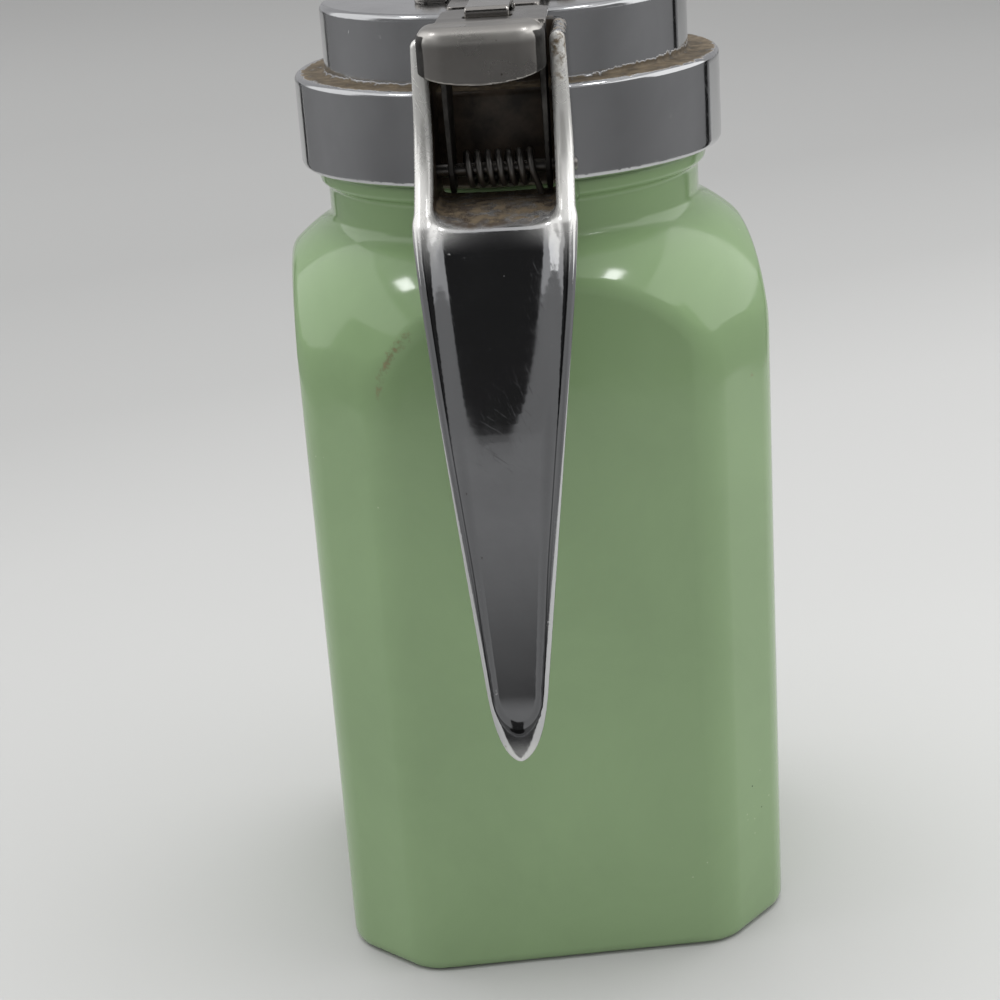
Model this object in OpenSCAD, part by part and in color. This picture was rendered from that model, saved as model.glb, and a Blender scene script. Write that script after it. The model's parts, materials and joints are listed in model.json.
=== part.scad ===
// Syrup dispenser: a square glass jar with a screw-on pouring lid, a horn-shaped handle
// and a sprung thumb lever that draws back a sliding shutter over the pour hole.
// Origin at the centre of the jar's base, +Z up, handle toward -Y, spout toward +Y.

/* [Jar] */
// Width of the jar across its flat faces
jar_w = 76; // [72:1:84]
// Leg of the flat cut on each upright corner
corner_cut = 12; // [9:0.5:15]
// Thickness of the glass walls
glass_t = 4; // [3:0.25:5]
// Thickness of the glass base
base_t = 6; // [4.5:0.5:9]
// Height of the straight part of the body
body_h = 98; // [80:1:120]
// Radius of the domed shoulder, seen from the side
shoulder_r = 28.5; // [27:0.5:32]
// Radius of the rounded heel around the base
heel_r = 1.5; // [0.5:0.25:2.5]
// Depth of the dish under the base
push_up = 1.5; // [0.5:0.25:2.5]
// Radius of the dish under the base
push_up_r = 26; // [20:1:30]
// Angle between the jar's faces and the handle, with the lid screwed home
jar_turn = 7.6; // [0:0.1:20]

/* [Neck] */
// How far the plain neck stands out from the finish above it
neck_out = 0.8; // [0.4:0.1:1.5]
// Height of the plain neck above the shoulder
neck_h = 6.2; // [4:0.2:9]
// How far the bead below the thread stands out from the finish
bead_out = 2.1; // [1.6:0.1:2.6]
// Height of the bead
bead_h = 2.8; // [2:0.2:4]
// Height of the threaded finish above the bead
finish_h = 11.6; // [11:0.2:14]
// Radius of the finish at the root of its thread
finish_r = 29.9; // [29.5:0.1:30.4]
// Wall of the finish around the mouth
finish_t = 4.4; // [3:0.1:6]

/* [Screw thread] */
// Rise of the thread in one turn
thread_pitch = 4.2; // [3.8:0.1:4.6]
// Turns of thread on the neck and in the lid
thread_turns = 1.5; // [1:0.25:1.75]
// Height of each ridge above its root
thread_depth = 1.3; // [1:0.1:1.4]
// Width of each ridge at its root
thread_w = 1.7; // [1.4:0.1:1.9]
// Radial gap between a ridge's crest and the facing root
thread_gap = 0.7; // [0.5:0.1:0.9]

/* [Gasket] */
// Thickness of the sealing ring
gasket_t = 1.2; // [0.8:0.1:2]
// Radial width of the sealing ring
gasket_w = 5.6; // [4:0.2:6]

/* [Lid] */
// Wall of the collar outside the thread
collar_t = 2.76; // [2:0.1:4]
// Gap between the bead and the collar's lower edge
collar_gap = 0.4; // [0.3:0.1:1]
// Thickness of the ledge over the gasket
ledge_t = 2; // [1.5:0.1:3]
// Width of the ledge from the collar's wall to the upper drum
ledge_w = 4.96; // [4:0.02:6]
// Height of the drum above the ledge
drum_h = 10.8; // [10:0.2:16]
// Wall of the drum and of its flat top
drum_t = 2; // [1.6:0.1:2.6]
// Rounding of the collar's and the drum's edges
edge_r = 1; // [0.4:0.1:1.4]

/* [Spout] */
// Width of the pour hole
hole_w = 10; // [7:0.5:11]
// Length of the pour hole
hole_l = 6.4; // [5:0.2:6.6]
// Distance from the drum's front to the hole's front edge
hole_inset = 3.7; // [3.3:0.1:4.7]
// How far the lip stands out from the drum
lip_out = 9.3; // [7:0.5:14]
// Width of the channel at the tip of the lip
lip_w = 9.2; // [7:0.2:11]
// Wall on each side of the channel
lip_t = 2; // [1.5:0.1:2.6]
// Height of the channel's walls above the lid's top
lip_wall_h = 2; // [1.4:0.1:3]
// Height of the lip where it leaves the drum
lip_root_h = 8.5; // [5:0.5:10]

/* [Handle] */
// Clear width between the two cheeks of the fork
fork_w = 17.6; // [17.2:0.2:19]
// Thickness of each cheek
cheek_t = 2.75; // [2.4:0.1:3.4]
// Distance from the collar to the cheeks' rear edge
cheek_l = 10.34; // [9.8:0.02:11.4]
// How much thinner each cheek is at its top
cheek_taper = 0.5; // [0:0.1:0.8]
// How far the cheeks stop below the lid's top
cheek_drop = 1.4; // [1:0.1:3]
// Depth of the sill, from the collar to the lip at its rear
sill_l = 19.3; // [17:0.5:21]
// Height of the handle from the sill to its tip
handle_h = 75.2; // [60:1:85]
// Distance from the jar's corners to the tip, looking down
tip_out = 30; // [27:1:36]
// Half-width of the handle just above its tip
tip_w = 4.3; // [3.5:0.1:5]
// Depth of the hollow down the handle's rear face
trough_d = 2.2; // [1:0.1:3]
// Width of the rim on each side of the hollow, at the tip
rim_w = 1.5; // [1:0.1:2.2]

/* [Lever] */
// Distance from the collar to the pin
pin_back = 5.84; // [5.6:0.02:6.6]
// Height of the pin above the sill
pin_up = 4.3; // [4.2:0.1:5]
// Radius of the pin
pin_r = 1; // [0.8:0.05:1.1]
// Running clearance of the lever on the pin
pin_fit = 0.06; // [0.03:0.01:0.1]
// Thickness of the lever's sheet
sheet_t = 0.8; // [0.6:0.1:1]
// Outer width across the lever's side plates
lever_w = 15; // [14:0.2:15.6]
// Width of the lever's top plate
plate_w = 15.9; // [15.6:0.1:16.6]
// Width of the thumb pad
pad_w = 18.2; // [17:0.2:20]
// Length of the thumb pad
pad_l = 7; // [5:0.5:9]
// Depth of the skirt around the thumb pad
pad_h = 8.1; // [6:0.5:9]
// How far the lever sits to the right on its pin
lever_off = 0.6; // [0:0.05:0.7]
// How far the thumb pad sits to the left of the lever's middle
pad_off = 1.35; // [0:0.05:1.4]
// Swing of the lever
lever_swing = 20; // [16:1:20]

/* [Spring] */
// Wire thickness
wire_d = 1; // [0.8:0.05:1.05]
// Outer diameter of the coil
coil_d = 5.6; // [5:0.1:5.8]
// Distance from one curl to the next
coil_pitch = 1.54; // [1.5:0.02:1.6]
// Curls of wire
coil_turns = 6.5; // [4.5:1:6.5]

/* [Shutter] */
// Width of the shutter
shutter_w = 14; // [12.5:0.5:14]
// Thickness of the shutter
shutter_t = 0.8; // [0.6:0.1:1]
// Overlap of the closed shutter past the hole's front edge
shutter_lap = 1; // [0.5:0.1:1.4]
// Width of the tongue that the lever pulls
tongue_w = 6.4; // [5:0.2:7]
// Gap between the tongue and the lever's top plate
tongue_gap = 0.6; // [0.5:0.05:0.8]
// Clearance beside and above the sliding shutter
slide_gap = 0.3; // [0.2:0.05:0.5]
// Length of the keeper that holds the shutter down
keeper_l = 12; // [9:0.5:14]
// Radius of the rivets
rivet_r = 1; // [0.8:0.1:1.2]

/* [Hidden] */
$fn = 96;
// Overlap of a cutter past the face that it cuts, and of pieces joined into one solid
over = 1;
// Gap of flush pieces that are riveted or pressed together
seam = 0.05;
// Least gap between pieces that pass each other
pass = 0.3;

// Jar
half_w = jar_w / 2;
corner_r = norm([half_w, half_w - corner_cut]);
shoulder_out = corner_r + 0.46;
shoulder_in = shoulder_out - shoulder_r;
neck_r = finish_r + neck_out;
bead_r = finish_r + bead_out;
mouth_r = finish_r - finish_t;
neck_root_r = neck_r + pass;
neck_z = body_h + sqrt(pow(shoulder_r, 2) - pow(neck_root_r - shoulder_in, 2));
inner_shoulder_r = shoulder_r - glass_t;
mouth_z = body_h + sqrt(pow(inner_shoulder_r, 2) - pow(mouth_r - shoulder_in, 2));
bead_z = neck_z + neck_h;
finish_z = bead_z + bead_h;
rim_z = finish_z + finish_h;
rim_round = 0.8;
bead_ease = 0.6;

// Lid
collar_z = finish_z + collar_gap;
collar_in = finish_r + thread_depth + thread_gap;
collar_r = collar_in + collar_t;
drum_r = collar_r - ledge_w;
seat_z = rim_z + gasket_t;
ledge_z = seat_z + ledge_t;
lid_z = ledge_z + drum_h;
drum_in = drum_r - drum_t;
gasket_r = collar_in - pass;

// Thread: the lid's ridge runs below the neck's ridge, which holds the lid down
thread_steps = 36;
thread_bury = 0.5;
thread_crest_w = 0.7;
thread_low = 2.6;
flank_gap = 0.35;
ridge_apart = (thread_w + thread_crest_w) / 2 + flank_gap;

// Handle: distances from the lid's axis are along -Y
sill_z = collar_z - 0.2;
sill_front = collar_r + 1.64;
sill_back = collar_r + sill_l;
sill_t = 1.2;
cheek_r = collar_r + cheek_l;
tip_z = sill_z - handle_h;
tip_r = corner_r + tip_out;
fork_in = fork_w / 2;
fork_out = fork_in + cheek_t;
cheek_top = lid_z - cheek_drop;
cheek_ease = 1.2;
taper_z = sill_z - 4.7;
tip_side_z = tip_z + 9.5;
tip_round = 2.4;
tip_t = 1.6;
trough_half = fork_in - pass;
trough_end = tip_z + 4;

// Lever and pin
pin_y = collar_r + pin_back;
pin_z = sill_z + pin_up;
pin_head = 0.3;
boss_r = 3.4;
plate_front = drum_r + 0.8;
plate_z = lid_z;
pad_front = cheek_r + pass;
pad_back = pad_front + pad_l;
pad_corner = 3;
pad_edge = 1.6;
plate_ease = 2.4;
arm_front = collar_r + 1.3;
arm_back = pin_y + 5;

// Shutter: the hook hangs over the pin, so that the lever lifts it least
hole_front = drum_r - hole_inset;
shutter_front = hole_front + shutter_lap;
stroke = (plate_z + sheet_t / 2 - pin_z) * lever_swing * PI / 180;
tongue_z = lid_z + sheet_t + tongue_gap;
step_y = drum_r - 1.7;
hook_y = pin_y + 0.5;
hook_low = 1.6;
slot_front = pin_y - 1;
slot_back = pin_y + 1.3;
notch_back = pin_y - 4;

// Keeper and rivets
keeper_y = -8;
foot_w = 5;
head_h = 0.8;
head_r = 1.9 * rivet_r;
keeper_in = shutter_w / 2 + slide_gap;
rivet_x = keeper_in + shutter_t + foot_w / 2;
rivet_apart = keeper_l / 2;
handle_rivet_r = 0.7;
handle_rivet_x = fork_in + (cheek_t - cheek_taper) / 2;
handle_rivet_z = ledge_z + 0.45 * drum_h;
handle_rivet_l = 5;
handle_rivet_y = sqrt(pow(drum_r, 2) - pow(handle_rivet_x, 2));
handle_head_r = 2 * handle_rivet_r;
handle_head_h = 0.9;
handle_boss_r = handle_head_r + pass;
handle_boss_y = sqrt(pow(drum_in, 2) - pow(handle_rivet_x + handle_boss_r, 2));

// Spring
coil_r = (coil_d - wire_d) / 2;
coil_right = 5.3;
coil_left = coil_right - coil_turns * coil_pitch;
leg_out = 0.5;
leg_end = [coil_right + 1.15, 1 - coil_r, wire_d / 2 + seam - pin_up];

// Points along a circular arc, from angle a to angle b
function arc(x, y, r, a, b, n = 12) =
    [for (i = [0:n]) [x + r * cos(a + (b - a) * i / n), y + r * sin(a + (b - a) * i / n)]];

// Points along a cubic curve with the control points p, q, s and t
function curve(p, q, s, t, n = 16) =
    [for (i = [0:n]) let (u = i / n, v = 1 - u)
        v * v * v * p + 3 * v * v * u * q + 3 * v * u * u * s + u * u * u * t];

// Faces of a tube through rings of n points each, closed at both ends
function tube_faces(rings, n) = concat(
    [for (i = [0:rings - 2], j = [0:n - 1]) [i * n + j, (i + 1) * n + j, i * n + (j + 1) % n]],
    [for (i = [0:rings - 2], j = [0:n - 1])
        [(i + 1) * n + j, (i + 1) * n + (j + 1) % n, i * n + (j + 1) % n]],
    [for (j = [1:n - 2]) [0, j, j + 1]],
    [for (j = [1:n - 2]) let (e = (rings - 1) * n) [e, e + j + 1, e + j]]);

// Extrudes an outline drawn as (distance behind the lid's axis, height) across the width w
module across(w) {
    rotate([90, 0, -90])
        translate([0, 0, -w / 2])
            linear_extrude(height = w)
                children();
}

// Extrudes an outline drawn as (x, height) from distance a to distance b behind the axis
module along(a, b) {
    translate([0, -a, 0])
        rotate([90, 0, 0])
            linear_extrude(height = b - a)
                children();
}

// A helical ridge between two radii; its centre starts at height z
module ridge(r_root, r_crest, z) {
    steps = thread_steps * thread_turns;
    points = [for (i = [0:steps]) let (a = i * 360 / thread_steps, h = z + thread_pitch * a / 360)
        for (p = [[r_root, -thread_w / 2], [r_crest, -thread_crest_w / 2],
                  [r_crest, thread_crest_w / 2], [r_root, thread_w / 2]])
            [p[0] * cos(a), p[0] * sin(a), h + p[1]]];
    polyhedron(points, [for (f = tube_faces(steps + 1, 4)) r_crest > r_root ? [f[0], f[2], f[1]] : f]);
}

// A prism with cut corners and a rounded heel, standing on z = 0
module cut_square(half, cut, round_r, top) {
    across_cut = (2 * half - cut) / sqrt(2);
    intersection_for(i = [0:3])
        rotate([0, 0, 45 * i])
            across(4 * half)
                polygon(concat([[-slab(i), top]], arc(round_r - slab(i), round_r, round_r, 180, 270, 6),
                    arc(slab(i) - round_r, round_r, round_r, 270, 360, 6), [[slab(i), top]]));
    function slab(i) = i % 2 == 0 ? half : across_cut;
}

module glass_jar() color([0.55, 0.68, 0.48]) {
    difference() {
        union() {
            rotate([0, 0, jar_turn])
                intersection() {
                    cut_square(half_w, corner_cut, heel_r, rim_z);
                    domed_round(shoulder_out, shoulder_r, neck_z);
                }
            rotate_extrude()
                polygon(concat([[0, neck_z - over], [neck_r, neck_z - over], [neck_r, bead_z]],
                    [[bead_r - bead_ease, bead_z], [bead_r, bead_z + bead_ease]],
                    [[bead_r, finish_z - bead_ease], [bead_r - bead_ease, finish_z]],
                    [[finish_r, finish_z]],
                    arc(finish_r - rim_round, rim_z - rim_round, rim_round, 0, 90, 6), [[0, rim_z]]));
            ridge(finish_r - thread_bury, finish_r + thread_depth, finish_z + thread_low);
        }
        jar_hollow();
        translate([0, 0, -over])
            cylinder(r1 = push_up_r + over, r2 = push_up_r - push_up, h = push_up + over);
    }
}

// A round column that ends in a dome of the given radius, cut level at the top
module domed_round(out, dome_r, top)
    rotate_extrude()
        intersection() {
            union() {
                square([out, body_h]);
                square([out - dome_r, body_h + dome_r]);
                translate([out - dome_r, body_h])
                    circle(r = dome_r);
            }
            square([out, top]);
        }

module jar_hollow() {
    rotate([0, 0, jar_turn])
        intersection() {
            translate([0, 0, base_t])
                cut_square(half_w - glass_t, corner_cut - glass_t * (2 - sqrt(2)), heel_r, rim_z);
            domed_round(shoulder_out - glass_t, inner_shoulder_r, mouth_z);
        }
    translate([0, 0, mouth_z - over])
        cylinder(r = mouth_r, h = rim_z - mouth_z + 2 * over);
}

module lid_gasket() color([0.75, 0.72, 0.66])
    difference() {
        translate([0, 0, rim_z])
            cylinder(r = gasket_r, h = gasket_t);
        translate([0, 0, rim_z - over])
            cylinder(r = gasket_r - gasket_w, h = gasket_t + 2 * over);
    }

module lid_casting() color([0.72, 0.72, 0.73])
    difference() {
        union() {
            lid_shell();
            spout();
            ridge(collar_in + thread_bury, collar_in - thread_depth, finish_z + thread_low - ridge_apart);
            handle_rivet_places()
                translate([0, handle_rivet_y - handle_boss_y, 0])
                    rotate([90, 0, 0])
                        cylinder(r = handle_boss_r, h = handle_rivet_y - handle_boss_y - drum_t / 2);
        }
        pour_channel();
        pour_hole();
        keeper_rivet_places()
            translate([0, 0, lid_z - drum_t - over])
                cylinder(r = rivet_r + seam, h = drum_t + 2 * over, $fn = 32);
        handle_rivet_places()
            rotate([90, 0, 0])
                cylinder(r = handle_rivet_r + seam, h = 2 * handle_rivet_l, center = true, $fn = 32);
    }

module lid_shell()
    rotate_extrude()
        polygon(concat([[collar_in, collar_z], [collar_r - edge_r / 2, collar_z]],
            [[collar_r, collar_z + edge_r / 2]],
            arc(collar_r - edge_r, ledge_z - edge_r, edge_r, 0, 90, 6),
            [[drum_r, ledge_z]],
            arc(drum_r - edge_r, lid_z - edge_r, edge_r, 0, 90, 6),
            [[0, lid_z], [0, lid_z - drum_t], [drum_in, lid_z - drum_t]],
            [[drum_in, seat_z], [collar_in, seat_z]]));

// The beak in front of the drum, with the walls that guide the shutter's front end
module spout() {
    root = drum_in + 0.2;
    tip = drum_r + lip_out;
    outer = keeper_in + lip_t;
    back = shutter_front - stroke - 2;
    intersection() {
        linear_extrude(height = lid_z + lip_wall_h)
            polygon([[-outer, back], [outer, back], [outer, shutter_front + pass],
                [lip_w / 2 + lip_t, tip - 2], [lip_w / 2, tip], [-lip_w / 2, tip],
                [-lip_w / 2 - lip_t, tip - 2], [-outer, shutter_front + pass]]);
        across(4 * outer)
            polygon([[-back, lid_z - drum_t / 2], [-root, lid_z - drum_t / 2],
                [-root, lid_z - lip_root_h], [-tip, lid_z - 1.4],
                [-tip, lid_z + lip_wall_h / 2], [-tip + 3, lid_z + lip_wall_h],
                [-back, lid_z + lip_wall_h]]);
    }
}

// The run of the shutter, then a channel that rises a little toward the tip
module pour_channel() {
    floor_y = shutter_front + pass;
    tip = drum_r + lip_out;
    intersection() {
        translate([0, 0, lid_z - drum_t])
            linear_extrude(height = drum_t + lip_wall_h + over)
                polygon([[-keeper_in, 0], [keeper_in, 0], [keeper_in, floor_y],
                    [lip_w / 2, tip - 2], [lip_w / 2, tip + over], [-lip_w / 2, tip + over],
                    [-lip_w / 2, tip - 2], [-keeper_in, floor_y]]);
        across(4 * keeper_in)
            polygon([[0, lid_z], [-floor_y, lid_z], [-floor_y, lid_z - 0.8],
                [-tip - over, lid_z + 0.4], [-tip - over, lid_z + lip_wall_h + over],
                [0, lid_z + lip_wall_h + over]]);
    }
}

// A round-ended slot across the lid's top, in front of its centre
module pour_hole() {
    end_r = 1.5;
    for (side = [-1, 1])
        for (y = [hole_front - hole_l + end_r, hole_front - end_r])
            translate([side * (hole_w / 2 - end_r), y, lid_z - drum_t - over])
                cylinder(r = end_r, h = drum_t + 2 * over, $fn = 32);
    translate([-hole_w / 2, hole_front - hole_l + end_r, lid_z - drum_t - over])
        cube([hole_w, hole_l - 2 * end_r, drum_t + 2 * over]);
    translate([end_r - hole_w / 2, hole_front - hole_l, lid_z - drum_t - over])
        cube([hole_w - 2 * end_r, hole_l, drum_t + 2 * over]);
}

module keeper_rivet_places()
    for (side = [-1, 1])
        for (end = [-1, 1])
            translate([side * rivet_x, keeper_y + end * rivet_apart / 2, 0])
                children();

// One place on each cheek, at the drum's rear wall
module handle_rivet_places()
    for (side = [-1, 1])
        translate([side * handle_rivet_x, -handle_rivet_y, handle_rivet_z])
            children();

module handle() color([0.66, 0.66, 0.67])
    difference() {
        union() {
            horn();
            cheeks();
        }
        trough();
        translate([0, 0, sill_z - over])
            cylinder(r = collar_r + seam, h = ledge_z - sill_z + over + seam);
        translate([0, 0, ledge_z])
            cylinder(r = drum_r + seam, h = drum_h + over);
        translate([0, 0, sill_z - handle_h / 2])
            cylinder(r = sill_front, h = handle_h / 2 + seam);
        translate([0, -pin_y, pin_z])
            rotate([0, 90, 0])
                cylinder(r = pin_r + seam / 2, h = 4 * fork_out, center = true, $fn = 48);
        handle_rivet_places()
            rotate([90, 0, 0])
                cylinder(r = handle_rivet_r + seam, h = 2 * handle_rivet_l, center = true, $fn = 32);
    }

// The grip: its side view crossed with its rear view
module horn() {
    intersection() {
        across(4 * fork_out)
            polygon(concat(
                curve([sill_back, sill_z], [corner_r + tip_out - 10, sill_z - 12.7],
                    [tip_r - 4.3, tip_z + 25], [tip_r, tip_z]),
                curve([tip_r - tip_t, tip_z + 0.6], [tip_r - 8, tip_z + 16.5],
                    [corner_r + tip_out - 18, sill_z - 22.7], [collar_r - over, sill_z - sill_t + 1])));
        along(0, 2 * tip_r)
            polygon(concat([[fork_out, sill_z + over], [fork_out, taper_z]],
                curve([tip_w, tip_side_z], [tip_w - 1.1, tip_z + 1.2],
                    [tip_round / 2, tip_z], [0, tip_z], 8),
                curve([0, tip_z], [-tip_round / 2, tip_z],
                    [1.1 - tip_w, tip_z + 1.2], [-tip_w, tip_side_z], 8),
                [[-fork_out, taper_z], [-fork_out, sill_z + over]]));
    }
}

// Two upright plates, whose outer faces lean inward above the pin
module cheeks()
    intersection() {
        for (side = [-1, 1])
            translate([side * (fork_in + cheek_t / 2), 0, 0])
                across(cheek_t)
                    polygon(concat([[drum_r - 4, sill_z - over], [sill_back - 1, sill_z - over]],
                        curve([sill_back, sill_z], [sill_back - 3.5, sill_z + 3.8],
                            [cheek_r, sill_z + 7.8], [cheek_r, ledge_z], 10),
                        arc(cheek_r - cheek_ease, cheek_top - cheek_ease, cheek_ease, 0, 90, 4),
                        [[drum_r - 4, cheek_top]]));
        along(0, 2 * sill_back)
            polygon([[-fork_out, sill_z - 2 * over], [fork_out, sill_z - 2 * over],
                [fork_out, pin_z + boss_r], [fork_out - cheek_taper, cheek_top + over],
                [cheek_taper - fork_out, cheek_top + over], [-fork_out, pin_z + boss_r]]);
    }

// The hollow down the rear face: it starts at the sill's lip and ends in a U above the tip
module trough()
    intersection() {
        across(4 * fork_out)
            polygon(concat(
                [[sill_back - trough_d - over, sill_z + over]],
                curve([sill_back - trough_d, sill_z], [tip_r - 10 - 1.5 * trough_d, sill_z - 13],
                    [tip_r - 4.3 - 0.8 * trough_d, tip_z + 27], [tip_r - 0.6 * trough_d, trough_end]),
                [[2 * tip_r, trough_end], [2 * tip_r, sill_z + over]]));
        along(0, 3 * tip_r)
            polygon(concat([[trough_half, sill_z + 2 * over], [trough_half, taper_z]],
                curve([tip_w - rim_w, tip_side_z], [tip_w - rim_w - 0.2, trough_end + 1],
                    [tip_round / 3, trough_end], [0, trough_end], 6),
                curve([0, trough_end], [-tip_round / 3, trough_end],
                    [rim_w + 0.2 - tip_w, trough_end + 1], [rim_w - tip_w, tip_side_z], 6),
                [[-trough_half, taper_z], [-trough_half, sill_z + 2 * over]]));
    }

// Headed on a boss inside the drum, driven into the front edge of each cheek
module handle_rivets() color([0.6, 0.58, 0.55]) {
    head_y = handle_rivet_y - handle_boss_y + seam;
    handle_rivet_places()
        rotate([-90, 0, 0]) {
            translate([0, 0, over - handle_rivet_l])
                cylinder(r = handle_rivet_r, h = handle_rivet_l - over + head_y + seam, $fn = 32);
            translate([0, 0, head_y])
                cylinder(r1 = handle_head_r, r2 = 0.7 * handle_head_r, h = handle_head_h, $fn = 32);
        }
}

module pivot_pin() color([0.62, 0.62, 0.62])
    translate([0, -pin_y, pin_z])
        rotate([0, 90, 0]) {
            cylinder(r = pin_r, h = 2 * fork_out, center = true, $fn = 48);
            for (side = [0, 1])
                mirror([0, 0, side])
                    translate([0, 0, fork_out])
                        cylinder(r1 = pin_r, r2 = 0.6 * pin_r, h = pin_head, $fn = 48);
        }

// One unbroken wire: a leg through the lever's side plate, the curls, and a leg down to the sill.
// Each entry is a point of the wire relative to the pin, and the angle that faces outward there.
coil_rings = 8;
wire_sides = 6;
coil_path = concat(
    [[[lever_off - lever_w / 2 - leg_out, coil_r, 0], 0], [[coil_left - 1.4, coil_r, 0], 0],
     [[coil_left - 0.5, coil_r, 0.05], 0]],
    [for (i = [0:coil_rings * coil_turns]) let (a = 360 * i / coil_rings)
        [[coil_left + coil_pitch * a / 360, coil_r * cos(a), coil_r * sin(a)], a]],
    [for (i = [1:3]) [[coil_right, -coil_r, 0] * (1 - i / 3) + leg_end * i / 3, 180]]);

// The shortest distance between two lengths of wire that lie at least a curl apart
coil_spread = min([for (i = [3:len(coil_path) - 1], j = [i + coil_rings - 1:1:len(coil_path) - 1])
    norm(coil_path[i][0] - coil_path[j][0])]);
echo(least_gap_of_spring_to_itself = coil_spread - wire_d);

module lever_spring() color([0.5, 0.5, 0.5]) {
    n = len(coil_path);
    points = [for (i = [0:n - 1])
        let (before = coil_path[max(i - 1, 0)][0], after = coil_path[min(i + 1, n - 1)][0],
            t = (after - before) / norm(after - before),
            face = [0, cos(coil_path[i][1]), sin(coil_path[i][1])],
            flat = face - (face * t) * t, u = flat / norm(flat), v = cross(t, u))
        for (k = [0:wire_sides - 1]) let (a = 360 * k / wire_sides)
            coil_path[i][0] + wire_d / 2 * (cos(a) * u + sin(a) * v)];
    translate([0, -pin_y, pin_z])
        polyhedron(points, tube_faces(n, wire_sides));
}

module thumb_lever() color([0.62, 0.61, 0.58])
    difference() {
        union() {
            for (side = [-1, 1])
                translate([lever_off + side * (lever_w - sheet_t) / 2, 0, 0])
                    lever_arm();
            translate([lever_off, 0, 0])
                top_plate();
            translate([lever_off - pad_off, 0, 0])
                thumb_pad();
        }
        translate([0, -pin_y, pin_z])
            rotate([0, 90, 0])
                cylinder(r = pin_r + pin_fit, h = 2 * lever_w, center = true, $fn = 48);
        translate([lever_off - lever_w / 2, coil_r - pin_y, pin_z])
            rotate([0, 90, 0])
                cylinder(r = wire_d / 2 + pass - seam, h = 3 * sheet_t, center = true, $fn = 32);
        translate([-tongue_w / 2 - pass, -notch_back, plate_z - over])
            cube([tongue_w + 2 * pass, notch_back, sheet_t + 2 * over]);
        translate([-tongue_w / 2 - pass, -slot_back, plate_z - over])
            cube([tongue_w + 2 * pass, slot_back - slot_front, sheet_t + 2 * over]);
    }

module lever_arm() {
    across(sheet_t)
        polygon([[pin_y - boss_r, pin_z], [arm_front, ledge_z + over], [plate_front + 1, plate_z - over],
            [plate_front + 1, plate_z + sheet_t / 2], [arm_back + 1, plate_z + sheet_t / 2],
            [arm_back, ledge_z], [pin_y + boss_r, pin_z]]);
    translate([0, -pin_y, pin_z])
        rotate([0, 90, 0])
            cylinder(r = boss_r, h = sheet_t, center = true, $fn = 64);
}

module top_plate()
    translate([0, 0, plate_z])
        linear_extrude(height = sheet_t)
            polygon([[-plate_w / 2 + plate_ease, -plate_front], [plate_w / 2 - plate_ease, -plate_front],
                [plate_w / 2, -plate_front - plate_ease], [plate_w / 2, -pad_front - over],
                [-plate_w / 2, -pad_front - over], [-plate_w / 2, -plate_front - plate_ease]]);

// A cap open below and in front, rounded at its rear corners and around its top
module thumb_pad()
    difference() {
        pad_block(pad_w / 2, pad_back, plate_z + sheet_t, pad_corner);
        translate([0, 0, -over])
            pad_block(pad_w / 2 - sheet_t, pad_back - sheet_t, plate_z + over, pad_corner - sheet_t);
        translate([-pad_w, -pad_front, 0])
            cube([2 * pad_w, pad_back, 2 * plate_z]);
    }

module pad_block(half, back, top, round_r) {
    low = plate_z + sheet_t - pad_h;
    intersection() {
        translate([0, 0, low])
            linear_extrude(height = top - low)
                polygon(concat([[half, over - pad_front]],
                    arc(half - round_r, round_r - back, round_r, 0, -90, 6),
                    arc(round_r - half, round_r - back, round_r, 270, 180, 6),
                    [[-half, over - pad_front]]));
        across(4 * half)
            polygon(concat([[pad_front - 2 * over, low - over], [back, low - over]],
                arc(back - pad_edge, top - pad_edge, pad_edge, 0, 90, 6),
                [[pad_front - 2 * over, top]]));
        along(0, 2 * back)
            polygon(concat([[half, low - over]], arc(half - pad_edge, top - pad_edge, pad_edge, 0, 90, 6),
                arc(pad_edge - half, top - pad_edge, pad_edge, 90, 180, 6), [[-half, low - over]]));
    }
}

// A flat slide on the lid's top, stepped up to a tongue that hooks through the lever
module shutter() color([0.7, 0.7, 0.69]) {
    rise = tongue_z - lid_z;
    difference() {
        translate([-shutter_w / 2, -step_y + rise, lid_z])
            cube([shutter_w, step_y - rise + shutter_front, shutter_t]);
        for (side = [-1, 1])
            translate([side * shutter_w / 2, shutter_front, lid_z - over])
                rotate([0, 0, 45])
                    cube([2, 2, 6], center = true);
    }
    across(tongue_w)
        polygon([[step_y - rise - over, lid_z], [step_y - rise, lid_z], [step_y, tongue_z],
            [hook_y - shutter_t, tongue_z], [hook_y - shutter_t, plate_z - hook_low],
            [hook_y, plate_z - hook_low], [hook_y, tongue_z + shutter_t],
            [step_y - 0.3, tongue_z + shutter_t], [step_y - rise - 0.3, lid_z + shutter_t],
            [step_y - rise - over, lid_z + shutter_t]]);
}

// A bridge over the shutter with a riveted foot on each side
module shutter_keeper() color([0.68, 0.68, 0.68]) {
    out = keeper_in + shutter_t;
    low = lid_z + shutter_t + slide_gap;
    difference() {
        translate([0, keeper_y, 0])
            along(-keeper_l / 2, keeper_l / 2)
                polygon([[-out - foot_w, lid_z], [-keeper_in, lid_z], [-keeper_in, low],
                    [keeper_in, low], [keeper_in, lid_z], [out + foot_w, lid_z],
                    [out + foot_w, lid_z + shutter_t], [out, lid_z + shutter_t],
                    [out, low + shutter_t], [-out, low + shutter_t],
                    [-out, lid_z + shutter_t], [-out - foot_w, lid_z + shutter_t]]);
        keeper_rivet_places()
            translate([0, 0, lid_z - over])
                cylinder(r = rivet_r + seam, h = shutter_t + 2 * over, $fn = 32);
    }
}

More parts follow.
